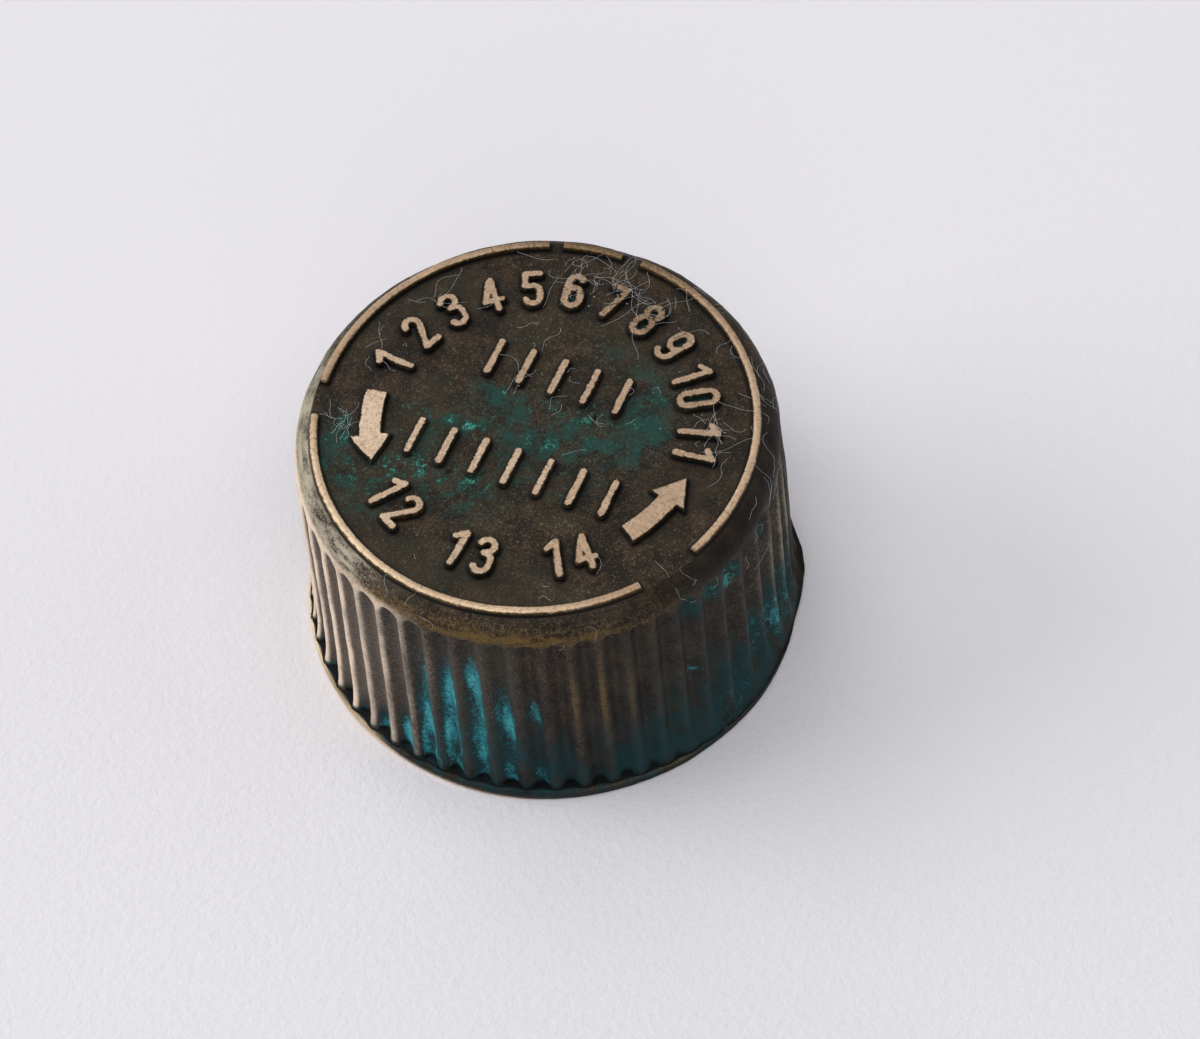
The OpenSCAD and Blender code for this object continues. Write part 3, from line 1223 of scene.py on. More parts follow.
    def crusted(self, g: SkirtGrid, streak: Array, fine: Array, cloud: Array) -> Array:
        """Pale crust: in flutes, partly a painted highlight on their lit halves, in spots
        elsewhere, and in a wavy line at the flutes' feet.

        Args:
            g: Places on the skirt.
            streak: Random streaks.
            fine: Random spots.
            cloud: Random clouds.

        Returns:
            The strongest of the three at each place.
        """
        over_line = g.z - g.sizes.flange_t - 0.5 - 0.15 * fine
        foot_line = bell(over_line, 0.13) * smooth(0.1, 0.5, g.cut)
        return np.maximum.reduce([
            g.painted(self.flute_crust) * (0.3 + 0.7 * g.flute) * (0.8 + 0.6 * streak),
            g.painted(self.crust) * (0.8 + 0.6 * fine),
            g.painted(self.foot_crust) * foot_line * (1 + 0.6 * cloud),
        ])

    def soiled(self, g: SkirtGrid) -> Array:
        """Grime and painted shade at the flutes' feet and on the flange; grime in the groove
        outside the raised ring.

        Args:
            g: Places on the skirt.

        Returns:
            The strongest of these at each place.
        """
        s = g.sizes
        in_flute = 0.25 + 0.75 * smooth(0.1, 0.6, g.cut)
        # Painted shade with the grime: the flutes' feet, darkest in their hollows, the flange's top
        # face and the upper half of its edge are darkened.
        return np.maximum.reduce([
            bell(g.z - s.flange_t, self.foot_reach) * in_flute * g.above,
            1.0 * ((g.share > 0.3) & (g.share < 1)),
            0.6 * bell(g.r - s.plate_r, self.groove_reach) * (g.z > s.rim_z),
            0.45 * g.edge,
            g.upper_edge * g.painted(self.flange_shaded),
            0.6 * g.painted(self.shoulder_soiled),
        ])

    def masks(self, g: SkirtGrid, grain: Grain) -> Masks:
        """Values for the finish of the skirt.

        Wrinkles run along the shoulder: they are looked up at places whose radius is held
        and whose height is drawn out along the section.

        Args:
            g: Places on the skirt.
            grain: Random values of the skirt.

        Returns:
            The masks, in the shape of the grid.
        """
        wrapped = placed_around(15.0, np.radians(g.az), 3 * (g.z - g.r)).reshape(-1, 3)
        cloud, streak, fine, wrinkle = (
            grain(places, size, 3).reshape(g.az.shape) for places, size in (
                (g.places(), self.cloud_size), (g.places(self.streak_drawn), self.streak_size),
                (g.places(), self.fine_size), (wrapped, self.wrinkle_size),
            )
        )
        rub = self.rubbed(g, streak)
        bare_of = g.outside * (1 - 0.7 * rub)
        ochre = (
            g.painted(self.ridge_ochre) * g.ridge + g.edge * g.painted(self.flange_ochre)
            + g.painted(self.shoulder_ochre) * (1 - 0.7 * g.flute) * (0.9 + 0.3 * wrinkle)
        )
        # Chalk on the shoulder, and a painted sheen on a few ridges.
        pale = (
            g.painted(self.shoulder_pale) * g.shoulder * (0.85 + 0.4 * wrinkle)
            + g.painted(self.ridge_pale) * g.ridge
        )
        # Painted light: the film is lighter on the half of each flute that faces the lamps and
        # darker on the other half.
        film = g.painted(self.flute_pale) * (0.8 + 0.55 * g.lean * g.flute)
        film = film * (1 - g.shoulder) * g.outside
        film = film + g.painted(self.shoulder_tan) * g.shoulder * (0.7 + 0.6 * wrinkle)
        return blank(g.az.shape) | {
            Mask.WEAR: rub * g.outside,
            Mask.GRIME: np.where(g.outside, self.soiled(g) * (1 - 0.8 * rub), HIDDEN_GRIME),
            Mask.GREEN: self.greened(g, streak) * bare_of,
            Mask.CRUST: self.crusted(g, streak, fine, cloud) * bare_of,
            Mask.OCHRE: ochre * g.outside,
            Mask.PALE: pale,
            Mask.HOLLOW: film,
            Mask.BRIGHT: g.painted(self.bright),
            Mask.LEAFY: np.maximum(0.8 * g.shoulder, g.painted(self.leafy)),
            Mask.DUST: g.painted(self.dust) * g.outside * (0.6 + 0.4 * cloud),
        }


@dataclass(frozen=True)
class Skirt:
    """Skirt, shoulder, flange and bore as one closed surface.

    A closed section runs around the wall: rest face, flange, fluted wall, shoulder, hidden
    inner side, end of the bore, bore and chamfer. It is carried around the axis, and the
    flutes are taken off it where it is the fluted wall.

    Attributes:
        flute_rim: Where a flute's worn side ends, in radii of the flute.
        flute_floor: Where its bottom ends, in the same unit.
        bunching: How far columns move towards the steep sides of a flute, as a share of it.
        waves: Size and height in millimetres of the skirt's unevenness.
        drift: How far the hand-set flutes stray from an even spacing, in degrees.
        bumps: Hand-filed bumps and flats of the flange's edge, in millimetres.
        foot_flare: How far the foot of the skirt flares out, in millimetres.
        flare_height: Height over which the flare fades.
        foot_fill: How far the flutes are filled at their foot, as a share.
        fill_height: Height over which the filling fades.
        swell: Where the skirt swells.
        swell_out: How far it swells, in millimetres.
    """

    sizes: CapSizes
    grain: Grain = Grain(23)
    patina: SkirtPatina = SkirtPatina()
    steps_per_flute: int = 20
    bunching: float = 0.035
    wall_rows: int = 44
    shoulder_rows: int = 22
    ledge_rows: int = 4
    bore_rows: int = 8
    flute_rim: float = 1.5
    flute_floor: float = 0.0
    waves: Waves = ((4.0, 0.05), (0.5, 0.012))
    drift: Bells = bells((-138, 8, -1.4), (-68, 12, 0.3), (-26, 15, -1.2), (13, 13, 1.6))
    bumps: Bells = bells(
        (26.5, 8.5, 0.33), (11, 4, -0.1), (-139, 9, -0.02), (150, 12, 0.15), (110, 20, -0.1),
        (70, 9, 0.2), (-60, 15, -0.05), (-175, 10, 0.08),
    )
    foot_flare: Bells = bells(
        (-25, 34, 0.36), (20, 30, 0.3), (-145, 26, 0.3), (90, 60, 0.2), (-80, 20, 0.06),
        (-112, 16, 0.2),
    )
    flare_height: float = 1.3
    foot_fill: Bells = bells((-20, 30, 0.8), (20, 26, 0.8), (-80, 22, 0.2))
    fill_height: float = 1.6
    swell: Patches = areas((42, 10.0, 16, 7.0, 0.9), (48, 2.5, 16, 3.5, 0.9))
    swell_out: float = 0.35

    def section(self) -> tuple[Array, Array]:
        """Section of the wall where no flute cuts it.

        Returns:
            Radius and height of each row, and how far the row belongs to the fluted wall: 1 on
            the wall and the shoulder, falling to 0 across the flange's top face.
        """
        s = self.sizes
        e, ease = s.flange_edge, 0.3 * s.flange_edge
        flange = line(
            (s.bore_r + s.lead_in, 0), (s.skirt_r - 0.6, 0), (s.flange_r - e, 0),
            (s.flange_r - ease, ease), (s.flange_r, e), (s.flange_r, 0.4 * s.flange_t),
            (s.flange_r, s.flange_t - e), (s.flange_r - ease, s.flange_t - ease),
            (s.flange_r - e, s.flange_t),
        )
        inward = np.linspace(0.2, 1, self.ledge_rows, endpoint=False)
        ledge_r = s.flange_r - e + (s.skirt_r - s.flange_r + e) * inward
        wall_z = np.linspace(s.flange_t, s.rim_z - 0.08, self.wall_rows)
        wall_r = s.skirt_r - (wall_z - s.flange_t) * math.tan(s.draft)
        hidden = line(
            (s.plate_r - 0.15, s.plate_z - 0.2), (s.bore_r + 0.1, s.bore_depth + 0.05),
            (s.bore_r, s.bore_depth - 0.05),
        )
        bore_z = np.linspace(s.bore_depth - 0.6, s.lead_in, self.bore_rows)
        stretches = (
            (flange, 0.0),
            (np.column_stack([ledge_r, np.full(self.ledge_rows, s.flange_t)]), inward),
            (np.column_stack([wall_r, wall_z]), 1.0),
            (self.shoulder(), 1.0),
            (hidden, 0.0),
            (np.column_stack([np.full(self.bore_rows, s.bore_r), bore_z]), 0.0),
        )
        shares = [np.broadcast_to(share, len(path)) for path, share in stretches]
        return join(*(path for path, _ in stretches)), join(*shares)

    def shoulder(self) -> Array:
        """Arc from the rim of the skirt up to the plate, bulging past its chord.

        Returns:
            Radius and height of each row.
        """
        s = self.sizes
        low, high = np.array([s.rim_r, s.rim_z]), np.array([s.plate_r, s.plate_z])
        chord = np.linalg.norm(high - low)
        radius = (chord**2 / 4 + s.shoulder_bulge**2) / (2 * s.shoulder_bulge)
        out = np.array([s.shoulder_h, s.shoulder_w]) / chord
        centre = (low + high) / 2 - out * (radius - s.shoulder_bulge)
        half = math.degrees(math.asin(chord / 2 / radius))
        middle = math.degrees(math.atan2(out[1], out[0]))
        return arc(*centre, radius, middle - half, middle + half, self.shoulder_rows)

    def from_flute(self, azimuth: Array) -> Array:
        """Angle in degrees from the middle of the nearest flute, all evenly spaced."""
        s = self.sizes
        return (azimuth - s.flute_start + s.pitch / 2) % s.pitch - s.pitch / 2

    def flute_cut(self, azimuth: Array, radius: Array, height: Array) -> Array:
        """Depth that the flutes take off the wall.

        With s the distance across the flute and t the distance past the point where its round
        end starts, the depth falls smoothly from the full depth at sqrt(s^2 + t^2) = 0 to
        nothing at flute_rim times the flute's radius, as on ridges that have worn round.

        Args:
            azimuth: Azimuths in degrees.
            radius: Radii of the wall.
            height: Heights.

        Returns:
            The depth at each place, 0 or more.
        """
        s = self.sizes
        across = np.radians(self.from_flute(azimuth)) * radius
        past = np.maximum(height - (s.rim_z + s.flute_reach - self.flute_rim * s.flute_r), 0)
        off_axis = np.hypot(across, past) / s.flute_r
        return s.flute_depth * smooth(self.flute_rim, self.flute_floor, off_axis)

    def columns(self) -> Array:
        """Azimuths of the columns: closer together where a flute's side is steep."""
        s = self.sizes
        t = (np.arange(self.steps_per_flute) + 0.5) / self.steps_per_flute
        local = s.pitch * (t + self.bunching * np.sin(4 * np.pi * t))
        starts = s.flute_start + np.arange(s.flutes)[:, None] * s.pitch
        return (starts + local - s.pitch / 2).ravel()

    def build(self) -> bpy.types.Object:
        """Makes the skirt.

        Flutes are cut where they would stand if all were even, and then drift. Unevenness,
        flare, swell and bumps move the surface outwards, and unevenness alone moves the
        flange's top face and the shoulder up and down.

        Returns:
            The skirt's object, with its masks.
        """
        s = self.sizes
        path, share = self.section()
        az, r = np.meshgrid(self.columns(), path[:, 0])
        z = np.broadcast_to(path[:, 1:], r.shape)
        share = np.broadcast_to(share[:, None], r.shape)
        on_wall = share >= 1
        wall_r = np.where(on_wall, r, s.skirt_r)
        wall_z = np.where(on_wall, z, s.flange_t)
        over_foot = wall_z - s.flange_t
        filled = bell(over_foot, self.fill_height) * around(self.foot_fill, az)
        cut = self.flute_cut(az, wall_r, wall_z) * share * (1 - filled)
        lean = self.from_flute(az) / (s.pitch / 2)

        az = az + around(self.drift, az)
        a = np.radians(az)
        outer = (r > s.bore_r + s.lead_in + 0.1) & (z < s.plate_z - 0.1)
        wobble = self.grain.waves(placed_around(r, a, z).reshape(-1, 3), self.waves)
        wobble = wobble.reshape(r.shape) * outer
        flare = around(self.foot_flare, az) * np.exp(-over_foot / self.flare_height)
        out = flare * np.minimum(share * 2, 1)
        out = out + self.swell_out * painted(self.swell, az, z, True) * on_wall
        r = r - cut + wobble + out + around(self.bumps, az) * (r > s.skirt_r + 0.05)
        on_flange = (z > 0.3) & (z < s.flange_t + 0.01) & (r > s.skirt_r)
        z = z + np.where(on_flange, 1.2 * wobble, 0)
        z = z + np.where((z > s.rim_z) & (z < s.plate_z - 0.2), wobble, 0)

        points = placed_around(r, a, z).reshape(-1, 3)
        quads = wrapped_quads(*az.shape, True)
        grid = SkirtGrid(s, az, r, z, share, cut / s.flute_depth, lean)
        masks = self.patina.masks(grid, self.grain)
        masks = {mask: values.ravel() for mask, values in masks.items()}
        return make_mesh("fluted_skirt", points, [quads], masks, 60)


# ---------------------------------------------------------------- neck thread


@dataclass(frozen=True)
class NeckThread:
    """Bead of the neck thread inside the bore.

    A section with a broad foot and a narrow top is carried along a helix: azimuth a, height
    start + pitch * a / 360. It thins to nothing at both ends.
    """

    sizes: CapSizes
    pitch: float = 4.23
    turns: float = 1.25
    start_z: float = 5.0
    depth: float = 0.9
    foot_w: float = 1.7
    top_w: float = 0.6
    sunk: float = 0.15
    steps: int = 180
    run_out: float = 25.0
    grime: float = 0.2

    def build(self) -> bpy.types.Object:
        """Makes the bead.

        Returns:
            The thread's object, with its masks.
        """
        s = self.sizes
        turn = np.linspace(0, 360 * self.turns, self.steps)
        fade = smooth(0, self.run_out, turn) * smooth(0, self.run_out, turn[-1] - turn)
        fade = np.maximum(fade, 0.02)
        out = np.array([self.sunk, 0, -0.75, -1, -1, -0.75, 0, self.sunk]) * self.depth
        up = np.array([-1, -1, -0.55, -0.35, 0.35, 0.55, 1, 1])
        up = up * np.where(np.abs(up) < 0.5, self.top_w, self.foot_w) / 2
        inward = np.where(out < 0, out * fade[:, None], out)
        radius = s.bore_r + inward
        height = self.start_z + self.pitch * turn[:, None] / 360 + up * (0.3 + 0.7 * fade[:, None])
        a = np.radians(turn)[:, None]
        points = placed_around(radius, a, height).reshape(-1, 3)
        columns = len(out)
        sides = wrapped_quads(self.steps, columns, False)
        first = np.arange(columns)[None, :]
        last = first[:, ::-1] + (self.steps - 1) * columns
        masks = blank(len(points))
        masks[Mask.GRIME] += self.grime
        return make_mesh("neck_thread", points, [sides, first, last], masks, 50)


# ---------------------------------------------------------------- lint


@dataclass(frozen=True)
class Tuft:
    """Fibres of lint that lie near one place, by azimuth in degrees and distance along the cap.

    Attributes:
        azimuth: Azimuth of the middle.
        along: Distance from the axis, over the plate and on down the shoulder and the skirt.
        spread: How far the fibres start from the middle, in millimetres.
        length: Length of a fibre in millimetres.
        count: How many fibres there are.
    """

    azimuth: float
    along: float
    spread: float
    length: float
    count: int


@dataclass(frozen=True)
class Lint:
    """Fine pale fibres that cling to the casting.

    Each fibre is a tube along a path that bends at random over the surface and rises a little
    off it: heading h(t) = h0 + bend t + swing sin(2 pi t + p), lift (1 - cos(2 pi t)).

    Attributes:
        thickness: Thickness of a fibre in millimetres.
        clearance: Least height of its middle line above the surface.
        lift: How much higher its middle may rise.
        bend: How strongly headings bend, in radians.
        swing: Least and greatest swing of a heading, in radians.
        length_range: Least and greatest length, as shares of the tuft's.
        least_r: Radius within which turns stay as they are at that radius.
    """

    sizes: CapSizes
    seed: int = 5
    steps: int = 18
    sides: int = 4
    thickness: float = 0.0125
    clearance: float = 0.05
    lift: float = 0.14
    bend: float = 1.3
    swing: tuple[float, float] = (0.1, 0.7)
    length_range: tuple[float, float] = (0.4, 1.5)
    least_r: float = 2.0
    tufts: tuple[Tuft, ...] = (
        Tuft(96, 12.4, 2.2, 2.6, 24), Tuft(80, 12.8, 2.4, 2.8, 20), Tuft(62, 13.8, 2.4, 2.6, 10),
        Tuft(22, 14.6, 2.4, 3.0, 10), Tuft(38, 15.2, 2.6, 2.8, 8), Tuft(8, 15.6, 2.6, 2.6, 5),
        Tuft(18, 11.6, 1.2, 1.4, 16), Tuft(115, 4.5, 3.5, 2.2, 8), Tuft(201, 12.8, 0.9, 1.2, 18),
        Tuft(175, 12.0, 1.6, 1.2, 5), Tuft(-30, 17.0, 2.4, 1.2, 6), Tuft(-5, 17.5, 3.0, 1.8, 5),
        Tuft(-60, 14.5, 4.0, 1.2, 5), Tuft(150, 14.0, 4.0, 2.2, 10), Tuft(-145, 24.0, 0.8, 3.4, 1),
        Tuft(-100, 14.8, 3.0, 1.2, 4), Tuft(30, 4.0, 4.0, 1.4, 8),
    )

    def surface(self, azimuth: Array, along: Array, off: Array) -> Array:
        """Places above the casting.

        Args:
            azimuth: Azimuths in radians.
            along: Distances from the axis along the plate, the shoulder and the skirt.
            off: Heights above the surface.

        Returns:
            The places, with x, y and z last.
        """
        s, bulge = self.sizes, self.sizes.shoulder_bulge
        shoulder_end = s.plate_r + math.hypot(s.shoulder_h, s.shoulder_w) + 0.1
        skirt_end = shoulder_end + s.rim_z - s.flange_t
        middle_r, middle_z = (s.plate_r + s.rim_r) / 2, (s.plate_z + s.rim_z) / 2
        # Each stop: distance along, radius, height and how far outwards the surface faces
        stops, radii, heights, facing = np.array([
            (0.0, 0.0, s.height, 0.0),
            (s.plate_r - 0.3, s.plate_r - 0.3, s.height, 0.0),
            (s.plate_r + 1.2, middle_r + bulge, middle_z + bulge, 0.7),
            (shoulder_end, s.rim_r, s.rim_z, 1.0),
            (skirt_end, s.skirt_r, s.flange_t, 1.0),
        ]).T
        outward = np.interp(along, stops, facing)
        radius = np.interp(along, stops, radii) + off * outward
        height = np.interp(along, stops, heights) + off * (1 - 0.7 * outward)
        return placed_around(radius, azimuth, height)

    def paths(self) -> Array:
        """Lets each fibre wander from its own start.

        Returns:
            Middle lines of all fibres, as fibre, step, coordinate.
        """
        rng = np.random.default_rng(self.seed)
        counts = [tuft.count for tuft in self.tufts]
        azimuth, along, spread, length = (
            np.repeat([getattr(tuft, name) for tuft in self.tufts], counts).astype(float)
            for name in ("azimuth", "along", "spread", "length")
        )
        n = len(along)
        t = np.linspace(0, 1, self.steps)
        heading = rng.uniform(0, 2 * np.pi, (n, 1)) + rng.normal(0, self.bend, (n, 1)) * t
        swing, phase = rng.uniform(*self.swing, (n, 1)), rng.uniform(0, 6, (n, 1))
        heading = heading + swing * np.sin(2 * np.pi * t + phase)
        stride = (length * rng.uniform(*self.length_range, n) / self.steps)[:, None]
        start = rng.normal(0, 0.5, (n, 2)) * spread[:, None]
        over = along[:, None] + start[:, :1] + np.cumsum(stride * np.cos(heading), axis=1)
        side = start[:, 1:] + np.cumsum(stride * np.sin(heading), axis=1)
        rise = rng.uniform(0, 1, (n, 1)) * (1 - np.cos(2 * np.pi * t)) / 2
        turn = side / np.minimum(np.maximum(over, self.least_r), self.sizes.skirt_r)
        off = self.clearance + self.lift * rise
        return self.surface(np.radians(azimuth)[:, None] + turn, over, off)

    def build(self) -> bpy.types.Object:
        """Makes all fibres as one mesh of closed tubes.

        Returns:
            The fibres' object.
        """
        paths = self.paths()
        ahead = np.gradient(paths, axis=1)
        ahead /= np.linalg.norm(ahead, axis=2, keepdims=True)
        across = np.cross(ahead, (0.0, 0.0, 1.0))
        across /= np.maximum(np.linalg.norm(across, axis=2, keepdims=True), 1e-6)
        upward = np.cross(ahead, across)
        angle = (2 * np.pi * np.arange(self.sides) / self.sides)[:, None]
        ring = across[:, :, None] * np.cos(angle) + upward[:, :, None] * np.sin(angle)
        points = (paths[:, :, None] + ring * self.thickness / 2).reshape(-1, 3)
        tube = self.steps * self.sides
        first = np.arange(len(paths))[:, None] * tube
        sides = wrapped_quads(self.steps, self.sides, False)[None] + first[:, :, None]
        start = np.arange(self.sides)[None, ::-1] + first
        end = np.arange(self.sides)[None] + tube - self.sides + first
        return make_mesh("lint", points, [sides.reshape(-1, 4), start, end], {}, 60)


# ---------------------------------------------------------------- shader sketching


class Value:
    """A number socket that can be written into arithmetic."""

    def __init__(self, sketch: "Sketch", socket: bpy.types.NodeSocket) -> None:
        """Wraps a socket of the sketch's tree."""
        self.sketch, self.socket = sketch, socket

    def _math(self, operation: str, first: object, second: object) -> "Value":
        """Adds one Math node and returns its result."""
        return self.sketch.value("ShaderNodeMath", {"operation": operation}, {0: first, 1: second})

    def __add__(self, other: object) -> "Value":
        """self + other."""
        return self._math("ADD", self, other)

    __radd__ = __add__

    def __sub__(self, other: object) -> "Value":
        """self - other."""
        return self._math("SUBTRACT", self, other)

    def __rsub__(self, other: object) -> "Value":
        """other - self."""
        return self._math("SUBTRACT", other, self)

    def __mul__(self, other: object) -> "Value":
        """self * other."""
        return self._math("MULTIPLY", self, other)

    __rmul__ = __mul__

    def most(self, other: object) -> "Value":
        """The larger of the two."""
        return self._math("MAXIMUM", self, other)

    def rise(self, low: float, high: float) -> "Value":
        """Smooth rise from 0 at low to 1 at high."""
        return self.sketch.value(
            "ShaderNodeMapRange",
            {"interpolation_type": "SMOOTHSTEP", "clamp": True},
            {0: self, 1: low, 2: high, 3: 0.0, 4: 1.0},
        )


class Sketch:
    """Writes a node tree from expressions."""

    def __init__(self, material: bpy.types.Material) -> None:
        """Starts an empty tree on a material."""
        material.use_nodes = True
        self.tree = material.node_tree
        self.tree.nodes.clear()

    def node(self, kind: str, settings: dict, inputs: dict) -> bpy.types.Node:
        """Adds a node, sets it up and feeds it.

        Args:
            kind: Type of the node.
            settings: Properties, set before the inputs.
            inputs: Input name or number to a number, a colour, a socket or a Value.

        Returns:
            The node.
        """
        made = self.tree.nodes.new(kind)
        for name, setting in settings.items():
            setattr(made, name, setting)
        for name, given in inputs.items():
            socket = made.inputs[name]
            given = given.socket if isinstance(given, Value) else given
            if isinstance(given, bpy.types.NodeSocket):
                self.tree.links.new(given, socket)
            else:
                socket.default_value = given
        return made

    def value(self, kind: str, settings: dict, inputs: dict, output: object = 0) -> Value:
        """Adds a node and returns one of its number outputs."""
        return Value(self, self.node(kind, settings, inputs).outputs[output])

    def mix(self, factor: object, first: object, second: object) -> bpy.types.NodeSocket:
        """Blend of two colours.

        Args:
            factor: 0 for the first, 1 for the second.
            first: A colour or a colour socket.
            second: A colour or a colour socket.

        Returns:
            The blended colour's socket.
        """
        inputs = {0: factor, 6: first, 7: second}
        return self.node("ShaderNodeMix", {"data_type": "RGBA"}, inputs).outputs[2]

    def stretched(self, scale: tuple[float, float, float]) -> bpy.types.NodeSocket:
        """Object coordinates in millimetres, scaled along each axis."""
        place = self.node("ShaderNodeTexCoord", {}, {}).outputs["Object"]
        scale = tuple(s / MM for s in scale)
        made = self.node("ShaderNodeVectorMath", {"operation": "MULTIPLY"}, {0: place, 1: scale})
        return made.outputs[0]

    def noise(self, place: bpy.types.NodeSocket, size: float, detail: float = 2.0,
              rough: float = 0.5) -> Value:
        """Noise with features of about the given size in millimetres, from 0 to 1."""
        inputs = {"Vector": place, "Scale": 1 / size, "Detail": detail, "Roughness": rough}
        return self.value("ShaderNodeTexNoise", {}, inputs)

    def specks(self, place: bpy.types.NodeSocket, size: float, spread: float) -> Value:
        """Round specks: near 1 close to scattered points and 0 elsewhere."""
        inputs = {"Vector": place, "Scale": 1 / size}
        return self.value("ShaderNodeTexVoronoi", {}, inputs, "Distance").rise(spread, spread * 0.4)

    def mask(self, mask: Mask) -> Value:
        """A value that the vertices carry."""
        settings = {"attribute_name": mask.value}
        return self.value("ShaderNodeAttribute", settings, {}, "Fac")

    def bump(self, height: Value, strength: float, depth: float) -> bpy.types.NodeSocket:
        """Normal of a fine relief, its depth in millimetres."""
        inputs = {"Strength": strength, "Distance": depth * MM, "Height": height}
        return self.node("ShaderNodeBump", {}, inputs).outputs[0]

    def surface(self, inputs: dict) -> None:
        """Ends the tree in one shader with the given inputs."""
        shader = self.node("ShaderNodeBsdfPrincipled", {}, inputs)
        self.node("ShaderNodeOutputMaterial", {}, {"Surface": shader.outputs[0]})


def srgb(red: int, green: int, blue: int) -> Colour:
    """Colour of a screen pixel, 0 to 255, as linear light."""
    parts = [c / 255 for c in (red, green, blue)]
    light = [c / 12.92 if c <= 0.04045 else ((c + 0.055) / 1.055) ** 2.4 for c in parts]
    return (*light, 1.0)


@dataclass(frozen=True)
class Noises:
    """Noises that the layers of the patina share.

    Attributes:
        even: Places in millimetres.
        sand: The grain of the casting.
        cloud: Broad clouds.
        fleck: Flecks between the two in size.
        streak: Upright streaks.
        grit: Sand and flecks together, from -1 to 1.
    """

    even: bpy.types.NodeSocket
    sand: Value
    cloud: Value
    fleck: Value
    streak: Value
    grit: Value


